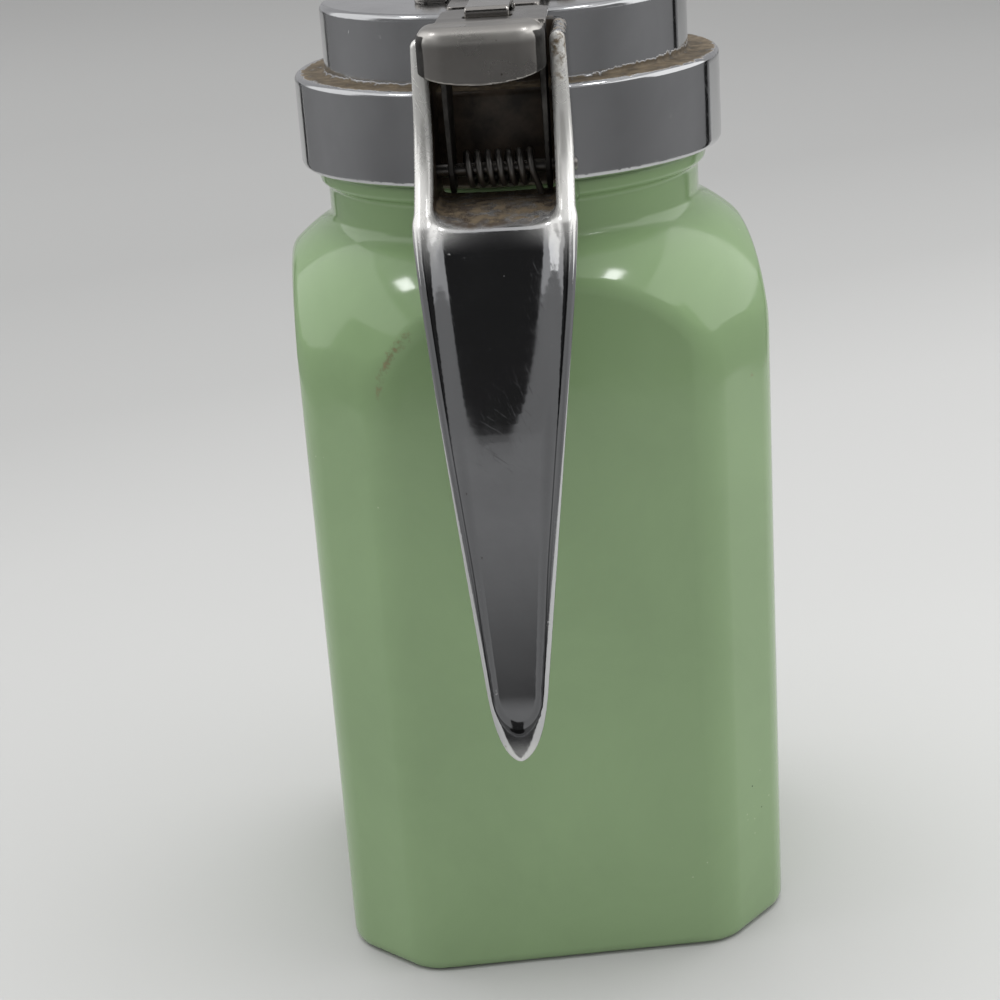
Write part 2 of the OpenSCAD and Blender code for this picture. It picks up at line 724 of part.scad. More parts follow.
module keeper_rivets() color([0.66, 0.65, 0.62])
    keeper_rivet_places() {
        translate([0, 0, lid_z - drum_t - head_h])
            cylinder(r = rivet_r, h = drum_t + shutter_t + 1.5 * head_h, $fn = 32);
        translate([0, 0, lid_z + shutter_t])
            cylinder(r1 = head_r, r2 = 0.6 * head_r, h = head_h, $fn = 32);
        translate([0, 0, lid_z - drum_t - head_h])
            cylinder(r1 = 0.8 * head_r, r2 = head_r, h = head_h, $fn = 32);
    }

glass_jar();
lid_gasket();
lid_casting();
handle();
handle_rivets();
pivot_pin();
lever_spring();
thumb_lever();
shutter();
shutter_keeper();
keeper_rivets();
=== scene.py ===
"""Looks for a square glass syrup dispenser with a sprung shutter lid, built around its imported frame.

Shapes are drawn in millimetres, in the frame's own axes, and go into the scene in metres.
A piece is drawn as a field: a function that is negative inside the piece, zero on its surface.
meet, join and cut combine fields, and the last number that they take is the radius of the edge.
"""
import json
import math

import bpy
import numpy as np
from bpy.props import FloatProperty, FloatVectorProperty, PointerProperty
from mathutils import Matrix, Vector


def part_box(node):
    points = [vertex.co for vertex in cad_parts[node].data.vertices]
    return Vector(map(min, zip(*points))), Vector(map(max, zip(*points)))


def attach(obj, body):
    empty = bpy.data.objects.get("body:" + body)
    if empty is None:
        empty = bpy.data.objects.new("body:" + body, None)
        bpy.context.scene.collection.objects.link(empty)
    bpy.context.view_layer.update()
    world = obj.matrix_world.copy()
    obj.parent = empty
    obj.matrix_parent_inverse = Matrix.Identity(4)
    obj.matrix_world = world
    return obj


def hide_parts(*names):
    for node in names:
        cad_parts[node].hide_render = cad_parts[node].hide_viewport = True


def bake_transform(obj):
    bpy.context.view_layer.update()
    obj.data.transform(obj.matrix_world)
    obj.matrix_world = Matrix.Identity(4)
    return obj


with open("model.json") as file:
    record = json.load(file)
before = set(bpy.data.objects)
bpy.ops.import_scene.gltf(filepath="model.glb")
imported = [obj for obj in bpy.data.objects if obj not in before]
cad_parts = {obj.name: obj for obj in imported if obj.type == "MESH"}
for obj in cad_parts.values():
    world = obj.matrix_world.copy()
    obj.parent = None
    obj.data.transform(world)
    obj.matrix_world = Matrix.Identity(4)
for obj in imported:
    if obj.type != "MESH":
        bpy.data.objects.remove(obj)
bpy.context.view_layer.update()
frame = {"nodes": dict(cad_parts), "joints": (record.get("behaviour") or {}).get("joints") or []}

bl_info = {
    "name": "Syrup Dispenser",
    "version": (1, 0, 0),
    "blender": (4, 5, 0),
    "location": "View3D > Sidebar > Dispenser",
    "description": "Builds a glass syrup dispenser with a screw lid, a horn handle and a sprung shutter",
    "category": "Add Mesh",
}

MM = 0.001


def box(name):
    """Lowest and highest corner of a CAD node, in millimetres."""
    low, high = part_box(name)
    return np.array(low) / MM, np.array(high) / MM


def joint(name):
    """The record of one joint of the frame."""
    return next(j for j in frame["joints"] if j["name"] == name)


JAR_LOW, JAR_HIGH = box("glass_jar")
GASKET_HIGH = box("lid_gasket")[1]
LID_LOW, LID_HIGH = box("lid_casting")
HANDLE_LOW, HANDLE_HIGH = box("handle")
LEVER_LOW, LEVER_HIGH = box("thumb_lever")
SHUTTER_LOW, SHUTTER_HIGH = box("shutter")
KEEPER_LOW, KEEPER_HIGH = box("shutter_keeper")
PIN = np.array(joint("lever_press")["pos_m"]) / MM

# Measures that several pieces share, in millimetres

LEDGE_Z = GASKET_HIGH[2] + 2
THREAD_PITCH = 4.2
PLAY = 0.3
SHEET = 0.8


class JarSettings(bpy.types.PropertyGroup):
    """Sizes and colour of the glass jar."""

    width: FloatProperty(name="Width", description="Width across the flat faces", default=76 * MM,
                         unit="LENGTH")
    corner_cut: FloatProperty(name="Corner cut", description="Leg of the flat cut on each upright corner",
                              default=12 * MM, unit="LENGTH")
    turn: FloatProperty(name="Turn", description="Angle between the jar's faces and the handle",
                        default=math.radians(7.6), subtype="ANGLE")
    body_height: FloatProperty(name="Body height", description="Height of the straight part of the body",
                               default=98 * MM, unit="LENGTH")
    shoulder: FloatProperty(name="Shoulder radius", description="Radius of the domed shoulder",
                            default=28.5 * MM, unit="LENGTH")
    wall: FloatProperty(name="Wall", description="Thickness of the glass", default=4 * MM, unit="LENGTH")
    base: FloatProperty(name="Base", description="Thickness of the base", default=6 * MM, unit="LENGTH")
    edge: FloatProperty(name="Edge", description="Rounding of the upright edges", default=2.6 * MM,
                        unit="LENGTH")
    colour: FloatVectorProperty(name="Glass", description="Colour of the opaque glass", subtype="COLOR",
                                size=4, default=(0.235, 0.345, 0.175, 1.0))


class LidSettings(bpy.types.PropertyGroup):
    """Sizes and colours of the lid and the handle."""

    drum_radius: FloatProperty(name="Drum radius", description="Outer radius of the upper drum",
                               default=29.7 * MM, unit="LENGTH")
    wall: FloatProperty(name="Wall", description="Wall of the drum and of its top", default=2 * MM,
                        unit="LENGTH")
    lip_wall: FloatProperty(name="Lip wall", description="Height of the lip's walls above the lid's top",
                            default=2 * MM, unit="LENGTH")
    fork: FloatProperty(name="Fork", description="Clear width between the cheeks", default=17.6 * MM,
                        unit="LENGTH")
    rim: FloatProperty(name="Rim", description="Rounding of the rim along the handle's hollow",
                       default=1.5 * MM, unit="LENGTH")
    hollow: FloatProperty(name="Hollow", description="Depth of the hollow at the top of the rear face",
                          default=2.1 * MM, unit="LENGTH")
    chrome: FloatVectorProperty(name="Chrome", description="Colour of the plating", subtype="COLOR",
                                size=4, default=(0.52, 0.525, 0.53, 1.0))
    residue: FloatVectorProperty(name="Residue", description="Colour of dried syrup in the lid's corner",
                                 subtype="COLOR", size=4, default=(0.115, 0.088, 0.055, 1.0))
    # Colour of the grime inside the fork, which is also painted shade there
    grime_and_shade: FloatVectorProperty(name="Grime", description="Colour of the old grime inside the fork",
                               subtype="COLOR", size=4, default=(0.07, 0.052, 0.037, 1.0))


class LeverSettings(bpy.types.PropertyGroup):
    """Sizes and colours of the lever, its spring and the shutter."""

    sheet: FloatProperty(name="Sheet", description="Thickness of the stamped sheet", default=0.8 * MM,
                         unit="LENGTH")
    wire: FloatProperty(name="Wire", description="Thickness of the spring's wire", default=1.0 * MM,
                        unit="LENGTH")
    coil: FloatProperty(name="Coil", description="Outer diameter of the spring", default=5.6 * MM,
                        unit="LENGTH")
    pitch: FloatProperty(name="Pitch", description="Distance from one curl to the next",
                         default=1.54 * MM, unit="LENGTH")
    turns: FloatProperty(name="Turns", description="Curls of wire", default=6.5)
    steel: FloatVectorProperty(name="Steel", description="Colour of the stamped steel", subtype="COLOR",
                               size=4, default=(0.33, 0.315, 0.295, 1.0))


class StageSettings(bpy.types.PropertyGroup):
    """The camera and the floor."""

    place: FloatVectorProperty(name="Camera", description="Where the camera stands", subtype="XYZ",
                               unit="LENGTH", default=(0.0198, -0.3419, 0.1949))
    yaw: FloatProperty(name="Yaw", description="Turn of the camera from +Y toward +X", subtype="ANGLE",
                       default=math.radians(-4.32))
    pitch: FloatProperty(name="Pitch", description="How far the camera looks down", subtype="ANGLE",
                         default=math.radians(20.0))
    roll: FloatProperty(name="Roll", description="Tilt of the camera about its line of sight",
                        subtype="ANGLE", default=math.radians(-3.99))
    lens: FloatProperty(name="Lens", description="Focal length in millimetres, on a 36 mm wide frame",
                        default=74.39)
    near: FloatVectorProperty(name="Floor", description="Colour of the floor at the object",
                              subtype="COLOR", size=4, default=(0.46, 0.46, 0.455, 1.0))


# Fields: shapes as functions of position


def meet(a, b, r=0.0):
    """What lies inside both fields, with its outer edge rounded to radius r."""
    if r <= 0:
        return np.maximum(a, b)
    return np.minimum(np.maximum(a, b), -r) + np.hypot(np.maximum(a + r, 0), np.maximum(b + r, 0))


def join(a, b, r=0.0):
    """What lies inside either field, with its inner corner filled to radius r."""
    return -meet(-a, -b, r)


def cut(a, b, r=0.0):
    """What lies inside a and outside b."""
    return meet(a, -b, r)


def band(value, low, high):
    """A slab of a coordinate between two values."""
    return np.abs(value - (low + high) / 2) - (high - low) / 2


def away_from(u, v, lines):
    """Distance to the nearest of several straight lines, each given by its two ends."""
    away = np.full_like(u, 1e9)
    for (ua, va), (ub, vb) in lines:
        du, dv = ub - ua, vb - va
        t = np.clip(((u - ua) * du + (v - va) * dv) / (du * du + dv * dv), 0, 1)
        away = np.minimum(away, np.hypot(u - ua - t * du, v - va - t * dv))
    return away


def strip(u, v, points, thickness):
    """A sheet of the given thickness along a bent line of points."""
    return away_from(u, v, zip(points, points[1:])) - thickness / 2


def outline(u, v, points):
    """Signed distance to a closed outline, negative inside."""
    lines = list(zip(points, points[1:] + points[:1]))
    odd = np.zeros(u.shape, bool)
    for (ua, va), (ub, vb) in lines:
        if vb != va:
            odd ^= ((va > v) != (vb > v)) & (u < ua + (ub - ua) * (v - va) / (vb - va))
    away = away_from(u, v, lines)
    return np.where(odd, -away, away)


def curve_points(p, q, s, t):
    """Points along a cubic curve with four control points."""
    p, q, s, t = np.array(p), np.array(q), np.array(s), np.array(t)
    u = np.linspace(0, 1, 61)[:, None]
    v = 1 - u
    return v ** 3 * p + 3 * v * v * u * q + 3 * v * u * u * s + u ** 3 * t


def along_height(*curves):
    """Two functions of height: the curves' first coordinate, and what its slope takes off a distance."""
    points = np.concatenate(curves)
    heights, first = np.unique(np.round(points[:, 1], 4), return_index=True)
    values = points[first, 0]
    lean = 1 / np.hypot(1, np.gradient(values, heights))
    return lambda z: np.interp(z, heights, values), lambda z: np.interp(z, heights, lean)


def fade(value, start, end):
    """Rises smoothly from 0 to 1 as the value goes from start to end."""
    t = np.clip((value - start) / (end - start), 0, 1)
    return t * t * (3 - 2 * t)


def add_object(name, data):
    """A new object in the scene, made of the given mesh, curve, lamp or camera."""
    made = bpy.data.objects.new(name, data)
    bpy.context.scene.collection.objects.link(made)
    return made


CUBE_CORNERS = [(i, j, k) for i in (0, 1) for j in (0, 1) for k in (0, 1)]
CUBE_EDGES = [(a, b) for a in CUBE_CORNERS for b in CUBE_CORNERS
              if a < b and sum(abs(np.subtract(a, b))) == 1]

# How often a point is pulled onto its surface, and how far at once, in cells

PULLS = 5
PULL_LIMIT = 0.4


def slope(field, p):
    """The field's value and gradient at points p."""
    x, y, z = p.T
    h = 0.01
    return field(x, y, z), np.stack([
        (field(x + h, y, z) - field(x - h, y, z)) / (2 * h),
        (field(x, y + h, z) - field(x, y - h, z)) / (2 * h),
        (field(x, y, z + h) - field(x, y, z - h)) / (2 * h)], axis=1)


def skin(name, field, low, high, cell, fine=None, marks=None):
    """A closed mesh object on the surface of a field, with normals taken from the field itself.

    The mesh starts as one point for each cell that the surface crosses, and each point is then pulled onto
    the surface. fine is a range of height with a step of its own. marks are functions of position, kept on
    the mesh.
    """
    margin = 2 * cell
    axes = [np.arange(low[i] - margin, high[i] + margin + cell, cell) for i in range(3)]
    if fine is not None:
        z = axes[2]
        axes[2] = np.concatenate([z[z < fine[0]], np.arange(*fine), z[z > fine[1]]])
    x, y, z = np.meshgrid(*axes, indexing="ij", sparse=False)
    value = field(x, y, z)
    inside = value < 0
    size = [n - 1 for n in inside.shape]

    def corner(array, c):
        return array[c[0]:c[0] + size[0], c[1]:c[1] + size[1], c[2]:c[2] + size[2]]

    count = sum(corner(inside, c).astype(np.int8) for c in CUBE_CORNERS)
    active = (count > 0) & (count < 8)
    where = np.argwhere(active)
    numbers = np.full(active.shape, -1)
    numbers[active] = np.arange(len(where))
    total = np.zeros((len(where), 3))
    hits = np.zeros(len(where))
    for a, b in CUBE_EDGES:
        fa, fb = corner(value, a)[active], corner(value, b)[active]
        crosses = (fa < 0) != (fb < 0)
        t = np.where(crosses, fa / np.where(crosses, fa - fb, 1), 0)
        total += crosses[:, None] * (np.array(a) + t[:, None] * (np.array(b) - np.array(a)))
        hits += crosses
    p = np.stack([axes[i][where[:, i]] + np.diff(axes[i])[where[:, i]] * total[:, i] / hits
                  for i in range(3)], axis=1)

    quads = []
    for axis in range(3):
        side, up = (axis + 1) % 3, (axis + 2) % 3
        first = np.moveaxis(inside, [axis, side, up], [0, 1, 2])
        cells = np.moveaxis(numbers, [axis, side, up], [0, 1, 2])
        a, b = first[:-1, 1:-1, 1:-1], first[1:, 1:-1, 1:-1]
        ring = [cells[:, :-1, :-1], cells[:, 1:, :-1], cells[:, 1:, 1:], cells[:, :-1, 1:]]
        leaves, enters = a & ~b, ~a & b
        quads.append(np.stack([r[leaves] for r in ring], axis=1))
        quads.append(np.stack([r[enters] for r in ring[::-1]], axis=1))
    quads = np.concatenate(quads)

    for _ in range(PULLS):
        f, g = slope(field, p)
        step = f[:, None] * g / np.maximum((g * g).sum(1), 1e-6)[:, None]
        length = np.linalg.norm(step, axis=1)
        p -= step * np.minimum(1, PULL_LIMIT * cell / np.maximum(length, 1e-9))[:, None]
    _, g = slope(field, p)
    normals = g / np.maximum(np.linalg.norm(g, axis=1), 1e-9)[:, None]

    mesh = bpy.data.meshes.new(name)
    mesh.vertices.add(len(p))
    mesh.vertices.foreach_set("co", (p * MM).astype(np.float32).ravel())
    mesh.loops.add(4 * len(quads))
    mesh.loops.foreach_set("vertex_index", quads.astype(np.int32).ravel())
    mesh.polygons.add(len(quads))
    mesh.polygons.foreach_set("loop_start", np.arange(0, 4 * len(quads), 4, dtype=np.int32))
    mesh.polygons.foreach_set("loop_total", np.full(len(quads), 4, np.int32))
    mesh.update(calc_edges=True)
    mesh.validate()
    mesh.shade_smooth()
    if len(mesh.vertices) == len(normals):
        mesh.normals_split_custom_set_from_vertices(normals.tolist())
        for key, mark in (marks or {}).items():
            layer = mesh.attributes.new(key, "FLOAT", "POINT")
            layer.data.foreach_set("value", mark(*p.T).astype(np.float32))
    return add_object(name, mesh)


def dress(obj, material, body, replaced):
    """Gives a piece its material, the CAD node it replaces and, unless it bends, its body."""
    obj.data.materials.append(material)
    if body:
        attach(obj, body)
    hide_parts(replaced)


def repaint(name, material):
    """Puts a material on a carried-over CAD node."""
    slots = frame["nodes"][name].data.materials
    slots.clear()
    slots.append(material)


# Materials

# Colours of dust, flecks, dirt, and of wear that is also a painted highlight, and half the width of the
# painted shade line along the handle's rim

PALE_DUST = (0.36, 0.45, 0.29, 1.0)
DARK_DUST = (0.06, 0.1, 0.05, 1.0)
DRIED_SYRUP = (0.17, 0.14, 0.08, 1.0)
PITTED = (0.16, 0.14, 0.12, 1.0)
# Pale worn plating, partly real wear and partly a painted highlight on the handle's cheeks, lip and tip
PLATING_WEAR_AND_SHEEN = (0.9, 0.89, 0.85, 1.0)
STEEL_FLECK = (0.1, 0.085, 0.07, 1.0)
# Pale worn steel, partly real wear and partly a painted highlight along the thumb pad's top edge
STEEL_WEAR_AND_SHEEN = (0.72, 0.7, 0.66, 1.0)
RIVET_STEEL = (0.4, 0.385, 0.36, 1.0)
PALE_RUBBER = (0.5, 0.46, 0.38, 1.0)
# Half width of the dark line painted along the handle's rim as shade, where the mesh has no groove
SHADE_LINE_HALF = 0.09


def node(tree, kind, **settings):
    """Adds a node; settings named like its properties are set, and the rest go to its inputs."""
    made = tree.nodes.new(kind)
    for key, value in settings.items():
        if hasattr(made, key):
            setattr(made, key, value)
        else:
            made.inputs[key.replace("_", " ")].default_value = value
    return made


def wire_up(tree, *pairs):
    """Links sockets, given as (from, to)."""
    for source, target in pairs:
        tree.links.new(source, target)


def effect(name, inputs, outputs):
    """An empty node group with named float inputs and outputs; returns it with its two end nodes."""
    group = bpy.data.node_groups.new(name, "ShaderNodeTree")
    for key, value in inputs.items():
        socket = group.interface.new_socket(name=key, in_out="INPUT", socket_type="NodeSocketFloat")
        socket.default_value = value
    for key in outputs:
        group.interface.new_socket(name=key, in_out="OUTPUT", socket_type="NodeSocketFloat")
    return group, group.nodes.new("NodeGroupInput"), group.nodes.new("NodeGroupOutput")


def group_of_smudges():
    """Broad and fine cloudiness of a handled surface."""
    group, start, end = effect("Smudges", {"Scale": 40.0, "Low": 0.0, "High": 1.0}, ["Value", "Cloud"])
    place = node(group, "ShaderNodeTexCoord")
    broad = node(group, "ShaderNodeTexNoise", Detail=5.0, Roughness=0.62, Distortion=0.6)
    spread = node(group, "ShaderNodeMapRange", From_Min=0.36, From_Max=0.66)
    wire_up(group, (place.outputs["Object"], broad.inputs["Vector"]),
            (start.outputs["Scale"], broad.inputs["Scale"]),
            (broad.outputs["Fac"], spread.inputs["Value"]),
            (start.outputs["Low"], spread.inputs["To Min"]),
            (start.outputs["High"], spread.inputs["To Max"]),
            (spread.outputs["Result"], end.inputs["Value"]),
            (broad.outputs["Fac"], end.inputs["Cloud"]))
    return group


def group_of_scratches():
    """Fine hairlines that cross at several angles."""
    group, start, end = effect("Scratches", {"Scale": 300.0, "Stretch": 30.0, "Turn": 0.5}, ["Lines"])
    place = node(group, "ShaderNodeTexCoord")
    parts = []
    for k in range(2):
        turn = node(group, "ShaderNodeVectorRotate", rotation_type="EULER_XYZ")
        angles = node(group, "ShaderNodeCombineXYZ", X=0.7 * k, Z=1.1 * k)
        stretch = node(group, "ShaderNodeCombineXYZ", Y=1.0, Z=1.0)
        scaled = node(group, "ShaderNodeVectorMath", operation="MULTIPLY")
        noise = node(group, "ShaderNodeTexNoise", Detail=2.0, Roughness=0.5)
        line = node(group, "ShaderNodeMapRange", From_Min=0.66, From_Max=0.74)
        wire_up(group, (start.outputs["Turn"], angles.inputs["Y"]),
                (angles.outputs[0], turn.inputs["Rotation"]),
                (place.outputs["Object"], turn.inputs["Vector"]),
                (start.outputs["Stretch"], stretch.inputs["X"]),
                (turn.outputs[0], scaled.inputs[0]), (stretch.outputs[0], scaled.inputs[1]),
                (scaled.outputs[0], noise.inputs["Vector"]),
                (start.outputs["Scale"], noise.inputs["Scale"]),
                (noise.outputs["Fac"], line.inputs["Value"]))
        parts.append(line)
    both = node(group, "ShaderNodeMath", operation="MAXIMUM")
    wire_up(group, (parts[0].outputs[0], both.inputs[0]), (parts[1].outputs[0], both.inputs[1]),
            (both.outputs[0], end.inputs["Lines"]))
    return group


def group_of_specks():
    """Scattered small flecks, as a mask."""
    group, start, end = effect("Specks", {"Scale": 260.0, "Size": 0.12, "Share": 0.5}, ["Mask"])
    place = node(group, "ShaderNodeTexCoord")
    cells = node(group, "ShaderNodeTexVoronoi", Randomness=1.0)
    patches = node(group, "ShaderNodeTexNoise", Scale=22.0, Detail=2.0)
    small = node(group, "ShaderNodeMath", operation="LESS_THAN")
    chosen = node(group, "ShaderNodeMath", operation="GREATER_THAN")
    both = node(group, "ShaderNodeMath", operation="MULTIPLY")
    wire_up(group, (place.outputs["Object"], cells.inputs["Vector"]),
            (place.outputs["Object"], patches.inputs["Vector"]),
            (start.outputs["Scale"], cells.inputs["Scale"]),
            (cells.outputs["Distance"], small.inputs[0]), (start.outputs["Size"], small.inputs[1]),
            (patches.outputs["Fac"], chosen.inputs[0]), (start.outputs["Share"], chosen.inputs[1]),
            (small.outputs[0], both.inputs[0]), (chosen.outputs[0], both.inputs[1]),
            (both.outputs[0], end.inputs["Mask"]))
    return group


def group_of_deposits():
    """Turns an even amount of dirt, or of grime and painted shade, into a patch with ragged edges, and gives
    its grain.
    """
    group, start, end = effect("Deposits", {"Amount": 0.0, "Scale": 400.0, "Ragged": 0.9}, ["Mask", "Grain"])
    place = node(group, "ShaderNodeTexCoord")
    noise = node(group, "ShaderNodeTexNoise", Detail=5.0, Roughness=0.65)
    grain = node(group, "ShaderNodeMapRange", From_Min=0.35, From_Max=0.65)
    centred = node(group, "ShaderNodeMath", operation="SUBTRACT")
    centred.inputs[1].default_value = 0.5
    broken = node(group, "ShaderNodeMath", operation="MULTIPLY_ADD")
    mask = node(group, "ShaderNodeMapRange", From_Min=0.3, From_Max=0.6, interpolation_type="SMOOTHSTEP")
    wire_up(group, (place.outputs["Object"], noise.inputs["Vector"]),
            (start.outputs["Scale"], noise.inputs["Scale"]),
            (noise.outputs["Fac"], grain.inputs["Value"]), (grain.outputs[0], end.inputs["Grain"]),
            (noise.outputs["Fac"], centred.inputs[0]), (centred.outputs[0], broken.inputs[0]),
            (start.outputs["Ragged"], broken.inputs[1]), (start.outputs["Amount"], broken.inputs[2]),
            (broken.outputs[0], mask.inputs["Value"]), (mask.outputs[0], end.inputs["Mask"]))
    return group


GROUP_MAKERS = {"Smudges": group_of_smudges, "Scratches": group_of_scratches, "Specks": group_of_specks,
                "Deposits": group_of_deposits}


def ramp(tree, stops):
    """A colour ramp with the given (position, colour) stops."""
    made = node(tree, "ShaderNodeValToRGB")
    elements = made.color_ramp.elements
    while len(elements) < len(stops):
        elements.new(0.5)
    for element, (at, colour) in zip(elements, stops):
        element.position = at
        element.color = colour
    return made


def use_group(tree, name, **values):
    """Places a shared effect in a material with its own values, building the effect the first time."""
    group = bpy.data.node_groups.get(name) or GROUP_MAKERS[name]()
    made = tree.nodes.new("ShaderNodeGroup")
    made.node_tree = group
    for key, value in values.items():
        made.inputs[key].default_value = value
    return made


def blank_material(name, colour, **sockets):
    """A new material; returns it with its tree and its Principled shader."""
    material = bpy.data.materials.new(name)
    material.use_nodes = True
    shader = material.node_tree.nodes["Principled BSDF"]
    shader.inputs["Base Color"].default_value = colour
    material.diffuse_color = colour
    for key, value in sockets.items():
        shader.inputs[key.replace("_", " ")].default_value = value
    return material, material.node_tree, shader


def mix_colour(tree, factor, first, second):
    """Mixes two colours by a socket; a colour is a socket or a plain value."""
    made = node(tree, "ShaderNodeMix", data_type="RGBA")
    tree.links.new(factor, made.inputs[0])
    for index, colour in ((6, first), (7, second)):
        if isinstance(colour, bpy.types.NodeSocket):
            tree.links.new(colour, made.inputs[index])
        else:
            made.inputs[index].default_value = colour
    return made.outputs[2]


def bump(tree, height, depth, normal=None):
    """A bump of the given depth in millimetres; returns its normal."""
    made = node(tree, "ShaderNodeBump", Strength=1.0, Distance=depth * MM)
    tree.links.new(height, made.inputs["Height"])
    if normal is not None:
        tree.links.new(normal, made.inputs["Normal"])
    return made.outputs["Normal"]


def shade(colour, factor):
    """The same colour, lighter or darker."""
    return tuple(min(1.0, c * factor) for c in colour[:3]) + (1.0,)


def marked(tree, mark):
    """The value that the mesh carries under a mark's name, 0 where it has none."""
    return node(tree, "ShaderNodeAttribute", attribute_name=mark).outputs["Fac"]


def stain(tree, mark, tint, base, scale, ragged):
    """Covers a colour with dirt, or with grime and painted shade, where the mesh carries the mark; returns
    the colour and the mask of the cover.
    """
    dirt = use_group(tree, "Deposits", Scale=scale, Ragged=ragged)
    tree.links.new(marked(tree, mark), dirt.inputs["Amount"])
    mixed = mix_colour(tree, dirt.outputs["Grain"], shade(tint, 0.45), shade(tint, 1.45))
    return mix_colour(tree, dirt.outputs["Mask"], base, mixed), dirt.outputs["Mask"]


def weighted(tree, socket, weight, added):
    """A socket times a number, plus a number or another socket, kept between 0 and 1."""
    made = node(tree, "ShaderNodeMath", operation="MULTIPLY_ADD", use_clamp=True)
    made.inputs[1].default_value = weight
    tree.links.new(socket, made.inputs[0])
    if isinstance(added, bpy.types.NodeSocket):
        tree.links.new(added, made.inputs[2])
    else:
        made.inputs[2].default_value = added
    return made.outputs[0]


def jade_glass(colour):
    """Opaque green pressed glass: cloudy, glossy, faintly rippled, with dust, flecks and a dried run."""
    material, tree, shader = blank_material("jade_glass", colour, IOR=1.5)
    cloud = use_group(tree, "Smudges", Scale=26.0, Low=0.0, High=1.0)
    haze = use_group(tree, "Smudges", Scale=90.0, Low=0.06, High=0.16)
    pale_dust = use_group(tree, "Specks", Scale=420.0, Size=0.06, Share=0.62)
    dark_dust = use_group(tree, "Specks", Scale=240.0, Size=0.045, Share=0.64)
    base = mix_colour(tree, cloud.outputs["Value"], shade(colour, 0.95), shade(colour, 1.04))
    base = mix_colour(tree, pale_dust.outputs["Mask"], base, PALE_DUST)
    base = mix_colour(tree, dark_dust.outputs["Mask"], base, DARK_DUST)
    base, _ = stain(tree, "smear", DRIED_SYRUP, base, scale=1100.0, ragged=0.9)
    ripple = node(tree, "ShaderNodeTexNoise", Scale=30.0, Detail=1.0)
    place = node(tree, "ShaderNodeTexCoord")
    wire_up(tree, (base, shader.inputs["Base Color"]),
            (haze.outputs["Value"], shader.inputs["Roughness"]),
            (place.outputs["Object"], ripple.inputs["Vector"]),
            (bump(tree, ripple.outputs["Fac"], depth=0.2), shader.inputs["Normal"]))
    return material


def plating(name, lid, low=0.07, high=0.2):
    """Aged chrome: smudged, finely scratched and pitted, worn satin and pale on its edges partly as a painted
    highlight, with a painted shade line along the handle's rim, crusted, and darkened by grime and painted
    shade where dirt stays.
    """
    colour = tuple(lid.chrome)
    material, tree, shader = blank_material(name, colour, Metallic=1.0)
    smear = use_group(tree, "Smudges", Scale=60.0, Low=low, High=high)
    lines = use_group(tree, "Scratches", Scale=260.0, Stretch=24.0, Turn=0.4)
    flecks = use_group(tree, "Specks", Scale=300.0, Size=0.05, Share=0.6)
    cloud = use_group(tree, "Smudges", Scale=34.0, Low=0.0, High=1.0)
    wear_and_sheen = marked(tree, "wear_and_sheen")
    base = mix_colour(tree, cloud.outputs["Value"], shade(colour, 0.93), shade(colour, 1.05))
    base = mix_colour(tree, flecks.outputs["Mask"], base, PITTED)
    # worn edges painted paler: partly real wear, partly a painted highlight
    base = mix_colour(tree, wear_and_sheen, base, PLATING_WEAR_AND_SHEEN)
    # a thin dark line painted along the handle's rim: painted shade standing in for a crease the mesh doesn't
    # have
    near = node(tree, "ShaderNodeMath", operation="COMPARE")
    near.inputs[1].default_value = 0.0
    near.inputs[2].default_value = SHADE_LINE_HALF
    line = node(tree, "ShaderNodeMath", operation="MULTIPLY")
    wire_up(tree, (marked(tree, "shade_line_offset"), near.inputs[0]), (near.outputs[0], line.inputs[0]),
            (marked(tree, "shade_line_amount"), line.inputs[1]))
    base = mix_colour(tree, line.outputs[0], base, shade(colour, 0.3))
    # dark inside the fork: partly real grime, partly painted shade
    base, grime_and_shade = stain(tree, "grime_and_shade", tuple(lid.grime_and_shade), base, scale=170.0, ragged=0.7)
    base, crust = stain(tree, "crust", tuple(lid.residue), base, scale=560.0, ragged=1.5)
    rough = weighted(tree, lines.outputs["Lines"], 0.05, smear.outputs["Value"])
    rough = weighted(tree, wear_and_sheen, 0.22, rough)
    rough = weighted(tree, grime_and_shade, 0.3, rough)
    rough = weighted(tree, crust, 0.6, rough)
    metal = weighted(tree, wear_and_sheen, -0.45, 1.0)
    metal = weighted(tree, crust, -1.0, weighted(tree, grime_and_shade, -0.8, metal))
    rippled = node(tree, "ShaderNodeTexNoise", Scale=55.0, Detail=2.0)
    tree.links.new(node(tree, "ShaderNodeTexCoord").outputs["Object"], rippled.inputs["Vector"])
    normal = bump(tree, rippled.outputs["Fac"], depth=0.06)
    normal = bump(tree, lines.outputs["Lines"], depth=0.002, normal=normal)
    normal = bump(tree, crust, depth=0.12, normal=normal)
    wire_up(tree, (base, shader.inputs["Base Color"]), (rough, shader.inputs["Roughness"]),
            (metal, shader.inputs["Metallic"]), (normal, shader.inputs["Normal"]))
    return material


